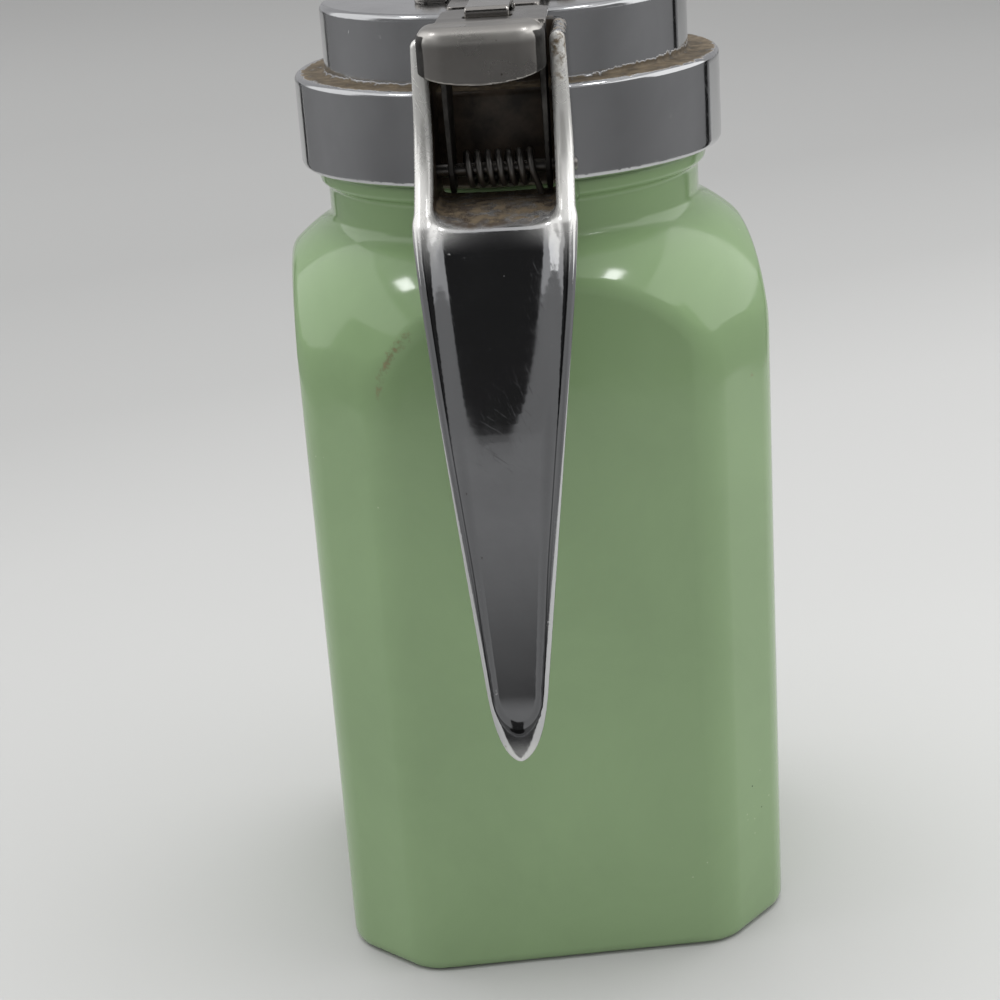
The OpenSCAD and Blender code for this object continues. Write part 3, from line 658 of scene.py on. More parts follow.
def stamped_steel(name, colour, low=0.24, high=0.42, with_wear_and_sheen=False):
    """Brushed stainless sheet or wire, water-stained, flecked, darkened inside by grime and painted shade
    and, if asked, worn pale, partly as a painted highlight.
    """
    material, tree, shader = blank_material(name, colour, Metallic=1.0)
    smear = use_group(tree, "Smudges", Scale=120.0, Low=low, High=high)
    grain = use_group(tree, "Scratches", Scale=420.0, Stretch=0.06, Turn=0.02)
    stains = use_group(tree, "Smudges", Scale=75.0, Low=0.0, High=0.55)
    flecks = use_group(tree, "Specks", Scale=520.0, Size=0.07, Share=0.6)
    base = mix_colour(tree, stains.outputs["Value"], shade(colour, 1.06), shade(colour, 0.72))
    base = mix_colour(tree, flecks.outputs["Mask"], base, STEEL_FLECK)
    # worn edges painted paler: partly real wear, partly a painted highlight
    if with_wear_and_sheen:
        wear_and_sheen = marked(tree, "wear_and_sheen")
        base = mix_colour(tree, wear_and_sheen, base, STEEL_WEAR_AND_SHEEN)
        tree.links.new(weighted(tree, wear_and_sheen, -0.4, 1.0), shader.inputs["Metallic"])
    # dark under and inside the sheet: partly real grime, partly painted shade
    base, grime_and_shade = stain(tree, "grime_and_shade", shade(colour, 0.2), base, scale=220.0, ragged=0.8)
    rough = weighted(tree, grime_and_shade, 0.2, smear.outputs["Value"])
    wire_up(tree, (base, shader.inputs["Base Color"]), (rough, shader.inputs["Roughness"]),
            (bump(tree, grain.outputs["Lines"], depth=0.004), shader.inputs["Normal"]))
    return material


def seal_rubber(colour):
    """Pale rubber of the sealing ring, dull and slightly stained."""
    material, tree, shader = blank_material("seal_rubber", colour)
    cloud = use_group(tree, "Smudges", Scale=90.0, Low=0.0, High=1.0)
    rough = use_group(tree, "Smudges", Scale=240.0, Low=0.55, High=0.8)
    wire_up(tree, (mix_colour(tree, cloud.outputs["Value"], shade(colour, 0.8), shade(colour, 1.1)),
                   shader.inputs["Base Color"]),
            (rough.outputs["Value"], shader.inputs["Roughness"]),
            (bump(tree, cloud.outputs["Cloud"], depth=0.1), shader.inputs["Normal"]))
    return material


# Pieces


def jar_field(jar):
    """The glass: a prism with cut corners under a dome, a neck with a bead and a thread, and its hollow."""
    half, wall = jar.width / MM / 2, jar.wall / MM
    cut_away = (2 * half - jar.corner_cut / MM) / math.sqrt(2)
    shoulder, body = jar.shoulder / MM, jar.body_height / MM
    past_corner = 0.46
    reach = math.hypot(half, half - jar.corner_cut / MM) + past_corner
    centre = reach - shoulder
    neck_r, finish_r, mouth_r, bead_r = 30.7, 29.9, 25.5, 32.0
    neck_length, bead_height = 6.2, 2.8
    neck_z = body + math.sqrt(shoulder ** 2 - (neck_r + 0.3 - centre) ** 2)
    bead_z, rim_z = neck_z + neck_length, JAR_HIGH[2]
    finish_z = bead_z + bead_height
    dish_r, dish_depth = 26, 1.5
    edge, inner_edge, inner_foot = jar.edge / MM, 5, 4
    cos_t, sin_t = math.cos(jar.turn), math.sin(jar.turn)

    def dome(rho, z, out, radius):
        above = np.hypot(np.maximum(rho - out + radius, 0), z - body) - radius
        return np.where(z > body, above, rho - out)

    def prism(x, y, inset, rounding):
        u, v = np.abs(x * cos_t + y * sin_t), np.abs(y * cos_t - x * sin_t)
        return meet(np.maximum(u, v) - half + inset, (u + v) / math.sqrt(2) - cut_away + inset, rounding)

    def thread(x, y, rho, z):
        lead_in, half_height, depth, flank, turns = 2.6, 0.85, 1.2, 0.3, 1.5
        angle = np.mod(np.arctan2(y, x), 2 * math.pi)
        ridge = np.full_like(z, 1e3)
        for turn in (0, 1):
            a = angle + 2 * math.pi * turn
            away = np.abs(z - finish_z - lead_in - THREAD_PITCH * a / (2 * math.pi))
            crest = meet(rho - finish_r - depth, away - half_height + flank * (rho - finish_r), 0.25)
            ridge = np.minimum(ridge, meet(crest, rho * (a - turns * 2 * math.pi), 0.2))
        return ridge

    def field(x, y, z):
        rho = np.hypot(x, y)
        glass = meet(prism(x, y, 0, edge), dome(rho, z, reach, shoulder), 1.1)
        dish = np.maximum(0, dish_depth * (1 - (rho / dish_r) ** 2))
        glass = meet(meet(glass, dish - z, 1.7), z - neck_z - 0.2, 1.2)
        neck = meet(rho - neck_r, band(z, neck_z - 6, bead_z + 1))
        bead = meet(rho - bead_r, band(z, bead_z, finish_z), 0.9)
        finish = meet(rho - finish_r, band(z, neck_z, rim_z), 0.8)
        glass = join(join(glass, neck, 2.0), join(bead, finish, 0.4), 0.9)
        glass = join(glass, thread(x, y, rho, z), 0.3)
        hollow = meet(prism(x, y, wall, inner_edge), dome(rho, z, reach - wall, shoulder - wall), 1)
        hollow = meet(hollow, jar.base / MM - z, inner_foot)
        hollow = join(meet(hollow, z - neck_z), meet(rho - mouth_r, body - z), 1.5)
        return cut(glass, hollow, 0.6)

    return field


def dried_run(x, y, z):
    """Amount of dirt along the arch over the rear face, and in a spot by the right edge."""
    run = np.array([(-20.9, -41.0, 102.6), (-20.3, -40.9, 104.6), (-19.9, -40.7, 106.1),
                    (-18.5, -40.4, 108.6), (-16.9, -40.2, 110.6), (-14.9, -40.1, 112.0)])
    spot = np.array([(37.3, -25.7, 99.2), (39.0, -23.4, 99.5), (40.6, -21.4, 99.7)])
    spread = 2.4
    amount = np.zeros_like(x)
    for line, strength in ((run, 0.5), (spot, 0.36)):
        for start, end in zip(line, line[1:]):
            for t in (0, 0.25, 0.5, 0.75):
                a, b, c = start + t * (end - start)
                away = np.sqrt((x - a) ** 2 + (y - b) ** 2 + (z - c) ** 2)
                amount = np.maximum(amount, strength * (1 - away / spread))
    return amount


class DISPENSER_OT_jar(bpy.types.Operator):
    """Build the glass jar with its threaded neck and its hollow"""

    bl_idname = "dispenser.jar"
    bl_label = "Jar"

    def execute(self, context):
        jar = context.scene.dispenser_jar
        glass = skin("jar", jar_field(jar), JAR_LOW, JAR_HIGH, cell=0.8, fine=(121, 146, 0.4),
                     marks={"smear": dried_run})
        dress(glass, jade_glass(tuple(jar.colour)), "jar", "glass_jar")
        return {"FINISHED"}


def lid_field(lid):
    """The two-tier lid: collar and drum, hollow inside, with the beak, its channel and the pour hole."""
    low, top = LID_LOW[2], LID_HIGH[2] - lid.lip_wall / MM
    collar_r, drum_r, wall = LID_HIGH[0], lid.drum_radius / MM, lid.wall / MM
    seat_z, bore_r = GASKET_HIGH[2], GASKET_HIGH[0] + PLAY
    edge_y, guide = SHUTTER_HIGH[1] + PLAY, SHUTTER_HIGH[0] + PLAY
    tip, spout_half, beak_back, beak_depth = LID_HIGH[1], 4.6, 17.5, 8.5
    under_slope, under_length = 0.64, 1.19
    channel_drop, channel_rise = 0.8, 1.2
    hole_half, hole_back, hole_front = 5, 19.6, 26

    def field(x, y, z):
        rho = np.hypot(x, y)
        collar = meet(rho - collar_r, band(z, low, LEDGE_Z), 0.9)
        drum = meet(rho - drum_r, band(z, LEDGE_Z - 3, top), 1.0)
        solid = join(collar, drum, 0.5)
        half = np.interp(y, [edge_y, tip - 2, tip], [guide + 2, spout_half + 2, spout_half])
        under = (top - beak_depth + under_slope * (y - drum_r + 1.8) - z) / under_length
        beak = meet(meet(np.abs(x) - half, y - tip, 2.2), z - LID_HIGH[2], 0.7)
        beak = meet(meet(beak, under, 0.7), beak_back - y, 0.7)
        solid = join(solid, beak, 0.8)
        ramp_up = channel_rise * (y - edge_y) / (tip + 1 - edge_y)
        floor = np.where(y < edge_y, top, top - channel_drop + ramp_up)
        run = np.interp(y, [edge_y, tip - 2, tip], [guide, spout_half, spout_half])
        channel = meet(np.abs(x) - run, floor - z, 0.5)
        solid = cut(solid, meet(channel, -y), 0.25)
        hole = meet(band(x, -hole_half, hole_half), band(y, hole_back, hole_front), 1.5)
        solid = cut(solid, meet(hole, top - wall - 1 - z), 0.3)
        bore = join(meet(rho - bore_r, z - seat_z, 0.4), meet(rho - drum_r + wall, z - top + wall, 0.8))
        return cut(solid, bore, 0.4)

    return field


def lid_marks(lid):
    """Where the lid is crusted, along the drum's foot, and where grime and painted shade darken it inside the
    fork.
    """
    drum_r, fork = lid.drum_radius / MM, lid.fork / MM / 2

    def crust(x, y, z):
        rho = np.hypot(x, y)
        reach = 3.9 + 0.5 * fade(x, -10, 30)
        on_ledge = fade(drum_r + reach + 0.8 - rho, 0, 1.8) * fade(z, LEDGE_Z - 0.9, LEDGE_Z - 0.3)
        return 0.8 * on_ledge * fade(LEDGE_Z + 1.1 + 0.8 * fade(x, 10, 30) - z, 0, 1.3)

    # Darkened on the collar and drum inside the fork: partly real grime, partly painted shade
    def grime_and_shade(x, y, z):
        between = 0.8 * fade(fork + 0.9 - np.abs(x), 0, 0.8)
        return between * fade(-y, 20, 24) * fade(LID_HIGH[2] - 2.4 - z, 0, 2)

    return {"crust": crust, "grime_and_shade": grime_and_shade}


class DISPENSER_OT_lid(bpy.types.Operator):
    """Build the chromed lid with its pouring beak, and give the seal its rubber"""

    bl_idname = "dispenser.lid"
    bl_label = "Lid"

    def execute(self, context):
        lid = context.scene.dispenser_lid
        casting = skin("lid", lid_field(lid), LID_LOW, LID_HIGH, cell=0.5, marks=lid_marks(lid))
        dress(casting, plating("lid_chrome", lid), "lid", "lid_casting")
        repaint("lid_gasket", seal_rubber(PALE_RUBBER))
        return {"FINISHED"}


def handle_field(lid):
    """The handle: a curved horn with a hollow rear face, a sill, and a fork of two half-round cheeks.

    Returns its field, and the marks of where it is worn pale, partly as a painted highlight; where a shade
    line is painted along its rim; where it is darkened by grime and painted shade; and where it is crusted.
    """
    sill_z, tip_z, tip_r = PIN[2] - 4.3, HANDLE_LOW[2], -HANDLE_LOW[1]
    fork, out = lid.fork / MM / 2, HANDLE_HIGH[0]
    cheek_top, seam = HANDLE_HIGH[2], 0.05
    collar_r, drum_r = LID_HIGH[0] + seam, lid.drum_radius / MM + seam
    sill_back, cheek_r = LID_HIGH[0] + 19.3, LID_HIGH[0] + 10.34
    back, lean = along_height(
        curve_points((sill_back, sill_z), (tip_r - 10, sill_z - 12.7), (tip_r - 4.3, tip_z + 25),
                     (tip_r, tip_z)),
        curve_points((sill_back, sill_z), (sill_back - 3.5, sill_z + 3.8), (cheek_r, sill_z + 7.8),
                     (cheek_r, LEDGE_Z)), [(cheek_r, cheek_top + 9)])
    front, _ = along_height(curve_points((tip_r - 1.6, tip_z + 0.6), (tip_r - 8, tip_z + 16.5),
                                         (tip_r - 18, sill_z - 22.7), (LID_HIGH[0] - 1, sill_z - 0.2)))
    foot_half, foot_up, foot_length, knee_down = 4.3, 9.5, 6.3, 4.7
    foot_z, knee = tip_z + foot_up, (out, sill_z - knee_down)
    taper = (out - foot_half) / (sill_z - tip_z - (foot_up + knee_down))
    side, _ = along_height([(out, sill_z + 30)],
                           curve_points((out, sill_z - 0.7), knee, knee, (out - 4 * taper, sill_z - 8.7)),
                           curve_points((foot_half, foot_z), (3.2, tip_z + 1.2), (1.2, tip_z), (0, tip_z)),
                           [(-3, tip_z - 1)])
    shares, window = np.linspace(0, 1, 101), 9
    walls = np.interp(shares, [0, 0.3, 0.58, 0.7, 0.78, 0.88, 1], [0, 0.12, 0.27, 0.7, 0.6, 0, 0])
    walls = np.convolve(np.pad(walls, window // 2, "edge"), np.ones(window) / window, "valid")
    bowl = np.cumsum(walls[::-1])[::-1] / walls.sum()
    rim, hollow = lid.rim / MM, lid.hollow / MM
    aside, front_lean, pin_hole = 0.12, 0.85, 1.02

    def place(x, y, z):
        below = fade(sill_z - z, 0, 12)
        return -y, np.abs(x), np.abs(x - aside * below), side(z) + aside * below

    def share_of(off_middle, width, z):
        end = np.clip((foot_z - z) / foot_length, 0, 2)
        return np.hypot(off_middle / np.maximum(width, 0.5), end)

    def field(x, y, z):
        r, across, off_middle, width = place(x, y, z)
        depth = hollow * (0.25 + 0.75 * width / out) * np.interp(share_of(off_middle, width, z), shares, bowl)
        rear, ahead = (r - back(z)) * lean(z), (front(z) - r) * front_lean
        horn = meet(rear + depth * lean(z), off_middle - width, rim)
        horn = meet(horn, ahead, 0.9)
        dish = 1.1 * (1 - np.minimum(across / fork, 1) ** 4) * fade(r, sill_back - 8, sill_back - 1)
        horn = meet(horn, z - sill_z + dish, 1.2)
        inner = fork + (out - fork) * fade(sill_z - z, 0.5, 10)
        sunk = fade(sill_z - z, 0, 9)
        outer = np.minimum(np.interp(z, [PIN[2] + 3.4, cheek_top], [out, out - 0.5]), side(z)) - 1.1 * sunk
        cheek = meet(meet(rear + 1.2 * sunk, z - cheek_top, 1.2), band(across, inner, outer), 1.25)
        cheek = meet(cheek, np.where(z < sill_z, ahead, -1))
        solid = join(horn, meet(cheek, sill_z - 10 - z), 1.0)
        rho = np.hypot(x, y)
        tiers = join(meet(rho - collar_r, z - LEDGE_Z - seam), meet(rho - drum_r, z - cheek_top - 9))
        below_sill = meet(rho - collar_r - 1.6, z - sill_z - seam)
        solid = cut(cut(solid, tiers, 0.2), below_sill, 0.25)
        return cut(solid, np.hypot(y - PIN[1], z - PIN[2]) - pin_hole, 0.2)

    # Worn pale on the cheeks' rear faces, the lip and the tip: partly real wear, partly a painted highlight
    def wear_and_sheen(x, y, z):
        r, across, _, _ = place(x, y, z)
        rear = fade(r - back(z), -2.4, -1.0)
        cheeks = fade(z, sill_z - 9, sill_z + 2) * fade(across, fork - 1.2, fork + 0.2)
        lip = fade(r, sill_back - 2.2, sill_back - 0.9) * (1 - fade(np.abs(z - sill_z), 0.8, 2.4))
        lip = np.maximum(lip, 0.9 * fade(z, sill_z - 5, sill_z - 1.8) * fade(sill_z + 1 - z, 0, 0.5))
        tip = 0.35 * rear * (1 - fade(z, tip_z + 1.2, tip_z + 4))
        return rear * np.maximum(0.85 * cheeks, 0.7 * lip) + tip

    # Where the painted shade line runs along the rim, as a signed offset from it
    def shade_line_offset(x, y, z):
        _, _, off_middle, width = place(x, y, z)
        rim_width = 0.7 + 0.6 * fade(z, tip_z + 8, tip_z + 30)
        away = width * (1 - share_of(off_middle, width, z)) - rim_width
        return np.clip(away / (1 + 2.5 * fade(tip_z + 7 - z, 0, 4)), -1, 1)

    # How strongly the painted shade line shows along the rim
    def shade_line_amount(x, y, z):
        return 0.8 * fade(-y - back(z), -1.8, -1.3) * fade(sill_z - z, 3, 6)

    # Darkened inside the fork, on the cheeks' inner faces and the sill: partly real grime, partly painted
    # shade
    def grime_and_shade(x, y, z):
        r, across, _, _ = place(x, y, z)
        inside = fade(fork + 0.6 - across, 0, 0.7) * fade(z, sill_z - 2.6, sill_z - 1.4)
        return (0.75 - 0.2 * fade(sill_z + 1 - z, 0, 0.6)) * inside * fade(back(z) - r, 0.9, 2.2)

    def crust(x, y, z):
        _, across, _, _ = place(x, y, z)
        floor = 0.5 * fade(fork + 0.4 - across, 0, 0.7) * fade(-np.abs(z - sill_z + 0.5), -1.6, -0.9)
        top = 0.4 * fade(z, cheek_top - 12, cheek_top - 3) * fade(x, fork - 1, fork + 1)
        top = top * np.maximum(fade(-y - back(z), -2.6, -1.2), fade(z, cheek_top - 1.4, cheek_top - 0.6))
        return np.maximum(floor * fade(back(z) + y, 1.6, 3.0), top)

    return field, {"wear_and_sheen": wear_and_sheen, "shade_line_offset": shade_line_offset, "shade_line_amount": shade_line_amount, "grime_and_shade": grime_and_shade, "crust": crust}


class DISPENSER_OT_handle(bpy.types.Operator):
    """Build the horn handle with its fork, and finish its rivets"""

    bl_idname = "dispenser.handle"
    bl_label = "Handle"

    def execute(self, context):
        lid = context.scene.dispenser_lid
        field, marks = handle_field(lid)
        grip = skin("handle_grip", field, HANDLE_LOW, HANDLE_HIGH, cell=0.4, marks=marks)
        dress(grip, plating("handle_chrome", lid, low=0.05, high=0.15), "lid", "handle")
        repaint("handle_rivets", stamped_steel("rivet_steel", RIVET_STEEL))
        return {"FINISHED"}


def lever_field(lever):
    """The stamped lever: two arms, a top plate with a slot and a notch, and a skirted thumb pad.

    Returns its field, and the marks of where it is darkened by grime and painted shade, and where it is worn
    pale, partly as a painted highlight.
    """
    sheet = lever.sheet / MM
    top, back = LEVER_HIGH[2], -LEVER_LOW[1]
    under, front = top - sheet, -LEVER_HIGH[1]
    pad_length, skirt = 7, 8.1
    pad_front, low = back - pad_length, top - skirt
    pin_s, pin_z, eye_r, pin_hole = -PIN[1], PIN[2], 3.4, 1.06
    arm = [(pin_s - eye_r, pin_z), (LID_HIGH[0] + 1.3, LEDGE_Z + 1), (front + 1, under - 1),
           (front + 1, under + sheet / 2), (pin_s + 6, under + sheet / 2), (pin_s + 5, LEDGE_Z),
           (pin_s + eye_r, pin_z)]
    half_plate, half_pad, arm_out, half_slot = 7.95, 9.1, 7.5, 3.5
    middle, pad_middle = LEVER_HIGH[0] - half_plate, LEVER_LOW[0] + half_pad

    def field(x, y, z):
        s, across, pad_across = -y, np.abs(x - middle), np.abs(x - pad_middle)
        shell = meet(meet(pad_across - half_pad, s - back, 4.4), z - top, 2.2)
        shell = cut(shell, shell + sheet, 0.15)
        hem = low + 1.6 * (pad_across / half_pad) ** 2
        pad = meet(meet(shell, hem - z, 0.2), pad_front - s, 0.2)
        plate = meet(meet(across - half_plate, front - s, 2.6), s - pad_front - 1.5)
        plate = meet(plate, band(z, under, top), 0.3)
        from_pin = np.hypot(s - pin_s, z - pin_z)
        arms = join(outline(s, z, arm), from_pin - eye_r, 0.5)
        arms = meet(arms, band(across, arm_out - sheet, arm_out), 0.15)
        solid = join(join(plate, pad, 0.3), arms, 0.35)
        solid = cut(solid, from_pin - pin_hole, 0.1)
        leg_hole = meet(np.hypot(s - pin_s + 2.3, z - pin_z) - 0.75, x + 5)
        slot = meet(np.abs(x) - half_slot, join(s - pin_s + 4, band(s, pin_s - 1, pin_s + 1.3)), 0.3)
        return cut(cut(solid, leg_hole, 0.1), meet(slot, under - 2 - z), 0.15)

    # Darkened under the plate and inside the pad: partly real grime, partly painted shade
    def grime_and_shade(x, y, z):
        arms = 0.75 * fade(under - 1.5 - z, 0, 2) * fade(pad_front + 0.3 + y, 0, 1)
        inside = 0.7 * fade(pad_front + 6.0 + y, 0, 0.6) * fade(under - z, 0, 0.5)
        return np.maximum(arms, inside)

    # Worn pale along the pad's top edge: partly real wear, partly a painted highlight
    def wear_and_sheen(x, y, z):
        shoulder = fade(z, top - 2.7, top - 1.5) * (0.58 - 0.4 * fade(z, top - 1.0, top - 0.3))
        return shoulder * fade(-y, pad_front, pad_front + 1.5)

    return field, {"grime_and_shade": grime_and_shade, "wear_and_sheen": wear_and_sheen}


def spring_points(lever):
    """The wire's path: a leg through the lever's arm, the curls, and a leg down to the sill."""
    radius = (lever.coil - lever.wire) / 2 / MM
    pitch, turns = lever.pitch / MM, lever.turns
    right, leg_end, per_turn = 5.3, -7.4, 28
    left = right - turns * pitch
    points = [(leg_end, radius, 0), (left - 1.4, radius, 0), (left - 0.6, radius, 0.02)]
    steps = round(turns * per_turn)
    for i in range(steps + 1):
        a = 2 * math.pi * turns * i / steps
        points.append((left + pitch * a / (2 * math.pi), radius * math.cos(a), radius * math.sin(a)))
    bent, end = np.array((right + 0.05, -radius, -0.25)), np.array((right + 1.15, -1.3, -3.75))
    points += [bent + (end - bent) * k / 6 for k in range(7)]
    return [Vector(p) * MM + Vector(PIN) * MM for p in points]


def wire_piece(name, points, thickness):
    """A round wire along points, as a mesh object."""
    path = bpy.data.curves.new(name + "_wire", "CURVE")
    path.dimensions = "3D"
    path.bevel_depth = thickness / 2
    path.bevel_resolution = 5
    path.use_fill_caps = True
    spline = path.splines.new("POLY")
    spline.points.add(len(points) - 1)
    for spot, point in zip(spline.points, points):
        spot.co = (*point, 1.0)
    curve = add_object(name + "_curve", path)
    depsgraph = bpy.context.evaluated_depsgraph_get()
    mesh = bpy.data.meshes.new_from_object(curve.evaluated_get(depsgraph))
    bpy.data.objects.remove(curve)
    mesh.shade_smooth()
    return add_object(name, mesh)


class DISPENSER_OT_lever(bpy.types.Operator):
    """Build the thumb lever and its torsion spring, and finish the pin"""

    bl_idname = "dispenser.lever"
    bl_label = "Lever"

    def execute(self, context):
        lever = context.scene.dispenser_lever
        steel = tuple(lever.steel)
        field, marks = lever_field(lever)
        plate = skin("lever_plate", field, LEVER_LOW, LEVER_HIGH, cell=0.25, marks=marks)
        dress(plate, stamped_steel("lever_steel", steel, with_wear_and_sheen=True), "lever",
              "thumb_lever")
        spring = wire_piece("spring", spring_points(lever), lever.wire)
        # The spring's steel is a darker copy: partly dirt, partly painted shade inside the fork
        dress(spring, stamped_steel("spring_steel", shade(steel, 0.85), low=0.34, high=0.5), None,
              "lever_spring")
        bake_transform(spring)
        repaint("pivot_pin", stamped_steel("pin_steel", shade(steel, 0.7)))
        return {"FINISHED"}


def shutter_field():
    """The slide: a flat blade, stepped up to a tongue whose hook drops through the lever."""
    low, top, base = SHUTTER_LOW[2], SHUTTER_HIGH[2], LID_HIGH[2] - 2
    hook, step, root, half_tongue = -SHUTTER_LOW[1], 28.0, 10, 3.2
    rise, mid = top - SHEET - base, SHEET / 2
    line = [(root, base + mid), (step - rise, base + mid), (step, top - mid), (hook - mid - 0.3, top - mid),
            (hook - mid, top - mid - 0.3), (hook - mid, low - 1)]

    def field(x, y, z):
        s, across = -y, np.abs(x)
        blade = meet(meet(across - SHUTTER_HIGH[0], y - SHUTTER_HIGH[1], 1.6), s - step + rise, 1.0)
        blade = meet(blade, band(z, base, base + SHEET), 0.25)
        tongue = meet(meet(strip(s, z, line, SHEET), across - half_tongue, 0.25), low - z, 0.1)
        return join(blade, meet(tongue, root - s), 0.3)

    return field


def keeper_field():
    """The bridge that holds the slide down: a hat-shaped strip with two feet."""
    out, top = KEEPER_HIGH[0], KEEPER_HIGH[2]
    inner = SHUTTER_HIGH[0] + PLAY + SHEET / 2
    mid = KEEPER_LOW[2] + SHEET / 2
    line = [(-out - 2, mid), (-inner - 0.5, mid), (-inner, mid + 0.4), (-inner, top - 0.7),
            (-inner + 0.3, top - SHEET / 2), (inner - 0.3, top - SHEET / 2), (inner, top - 0.7),
            (inner, mid + 0.4), (inner + 0.5, mid), (out + 2, mid)]

    def field(x, y, z):
        plan = meet(np.abs(x) - out, band(y, KEEPER_LOW[1], KEEPER_HIGH[1]), 2.0)
        return meet(strip(x, z, line, SHEET), plan, 0.2)

    return field


class DISPENSER_OT_shutter(bpy.types.Operator):
    """Build the sliding shutter and its keeper, and finish the rivets"""

    bl_idname = "dispenser.shutter"
    bl_label = "Shutter"

    def execute(self, context):
        steel = tuple(context.scene.dispenser_lever.steel)
        blade = skin("slide_blade", shutter_field(), SHUTTER_LOW, SHUTTER_HIGH, cell=0.3)
        dress(blade, stamped_steel("shutter_steel", shade(steel, 1.35), low=0.18, high=0.34), "slide",
              "shutter")
        bridge = skin("keeper_bridge", keeper_field(), KEEPER_LOW, KEEPER_HIGH, cell=0.3)
        dress(bridge, stamped_steel("keeper_steel", shade(steel, 1.2), low=0.18, high=0.34), "lid",
              "shutter_keeper")
        repaint("keeper_rivets", stamped_steel("keeper_rivet_steel", shade(steel, 1.1)))
        return {"FINISHED"}


# Stage

# Where the lamps aim, and sizes of the floor and the cards, in metres

LIGHTS_AIM = (0, 0, 0.08)
FLOOR_REACH = 6
PANEL_MIDDLE = 0.02
PANEL_ROUND = 0.16
SCREEN_HEIGHTS = (0.0, 0.17)
DEGREES_PER_STEP = 4


def camera_matrix(stage):
    """The camera's pose from its place and its three angles."""
    yaw, pitch, roll = stage.yaw, stage.pitch, stage.roll
    ahead = Vector((math.sin(yaw) * math.cos(pitch), math.cos(yaw) * math.cos(pitch), -math.sin(pitch)))
    level = Vector((math.cos(yaw), -math.sin(yaw), 0))
    upright = level.cross(ahead)
    right = math.cos(roll) * level + math.sin(roll) * upright
    up = -math.sin(roll) * level + math.cos(roll) * upright
    turn = Matrix((right, up, -ahead)).transposed().to_4x4()
    return Matrix.Translation(Vector(stage.place)) @ turn


def soft_light(name, place, size, power):
    """A rectangular lamp that faces the object."""
    data = bpy.data.lights.new(name, "AREA")
    data.shape = "RECTANGLE"
    data.size, data.size_y = size
    data.energy = power
    lamp = add_object(name, data)
    lamp.location = place
    lamp.rotation_euler = (Vector(LIGHTS_AIM) - Vector(place)).to_track_quat("-Z", "Y").to_euler()
    return lamp


def backdrop(name, points, faces, material):
    """A piece of the stage, made of flat faces."""
    mesh = bpy.data.meshes.new(name)
    mesh.from_pydata(points, [], faces)
    mesh.materials.append(material)
    obj = add_object(name, mesh)
    return obj


def level_corners(x, y, z, half_x, half_y):
    """The four corners of a level rectangle around a point."""
    return [(x - half_x, y - half_y, z), (x + half_x, y - half_y, z), (x + half_x, y + half_y, z),
            (x - half_x, y + half_y, z)]


def floor_material(stage):
    """Pale paper, greyer behind the object and to its left, as painted shade where the light falls off."""
    material, tree, shader = blank_material("floor_paper", tuple(stage.near), Roughness=0.9)
    place = node(tree, "ShaderNodeTexCoord")
    along = node(tree, "ShaderNodeVectorMath", operation="DOT_PRODUCT")
    along.inputs[1].default_value = (-0.55, 1.0, 0.0)
    # tones along the floor are painted shade standing in for the light falling off
    stops = [(-0.1, 0.52), (0.08, 0.44), (0.23, 0.4), (0.38, 0.335), (0.6, 0.3), (1.0, 0.32), (2.0, 0.45)]
    start, end = stops[0][0], stops[-1][0]
    share = node(tree, "ShaderNodeMapRange", From_Min=start, From_Max=end)
    tones = ramp(tree, [((at - start) / (end - start), shade(stage.near, tone / stage.near[0]))
                        for at, tone in stops])
    wire_up(tree, (place.outputs["Object"], along.inputs[0]), (along.outputs["Value"], share.inputs["Value"]),
            (share.outputs[0], tones.inputs[0]), (tones.outputs["Color"], shader.inputs["Base Color"]))
    return material


def card(name, points, faces, brightness, axis="Z", span=(0.0, 1.0)):
    """A sheet of the stage that only shows in reflections.

    Its brightness is a number, or pairs of (share of the span along the axis, number).
    """
    material = bpy.data.materials.new(name)
    material.use_nodes = True
    tree = material.node_tree
    tree.nodes.clear()
    stops = brightness if isinstance(brightness, list) else [(0.0, brightness), (1.0, brightness)]
    place = node(tree, "ShaderNodeSeparateXYZ")
    share = node(tree, "ShaderNodeMapRange", From_Min=span[0], From_Max=span[1])
    tone = ramp(tree, [(at, (b, b, b * 1.02, 1.0)) for at, b in stops])
    glow = node(tree, "ShaderNodeEmission", Strength=1.0)
    wire_up(tree, (node(tree, "ShaderNodeTexCoord").outputs["Object"], place.inputs[0]),
            (place.outputs[axis], share.inputs["Value"]), (share.outputs[0], tone.inputs[0]),
            (tone.outputs["Color"], glow.inputs["Color"]),
            (glow.outputs[0], node(tree, "ShaderNodeOutputMaterial").inputs["Surface"]))
    sheet = backdrop(name, points, faces, material)
    sheet.visible_camera = False
    sheet.visible_shadow = False
    sheet.visible_diffuse = False


def screen(name, radius, azimuths, heights, brightness, axis="Z"):
    """An upright curved card around the object; azimuths are degrees from -Y toward +X."""
    steps = max(2, round(abs(azimuths[1] - azimuths[0]) / DEGREES_PER_STEP))
    turns = [math.radians(a) for a in np.linspace(*azimuths, steps + 1)]
    points = [(radius * math.sin(a), -radius * math.cos(a), z) for a in turns for z in heights]
    faces = [(2 * i, 2 * i + 2, 2 * i + 3, 2 * i + 1) for i in range(steps)]
    span = heights if axis == "Z" else (-radius, radius)
    card(name, points, faces, brightness, axis, span)


def panel_over_camera(name, low, high, half_low, half_high, brightness):
    """A leaning card above the camera whose lower end is round; low and high are its (y, z) ends."""
    turns = np.linspace(math.pi, 2 * math.pi, 25)
    bend = PANEL_ROUND / math.dist(low, high)
    edge = [(half_low * math.cos(a), bend * (1 + math.sin(a))) for a in turns]
    edge += [(half_high, 1), (-half_high, 1)]
    points = [(PANEL_MIDDLE + u, low[0] + v * (high[0] - low[0]), low[1] + v * (high[1] - low[1]))
              for u, v in edge]
    card(name, points, [tuple(range(len(points)))], brightness)


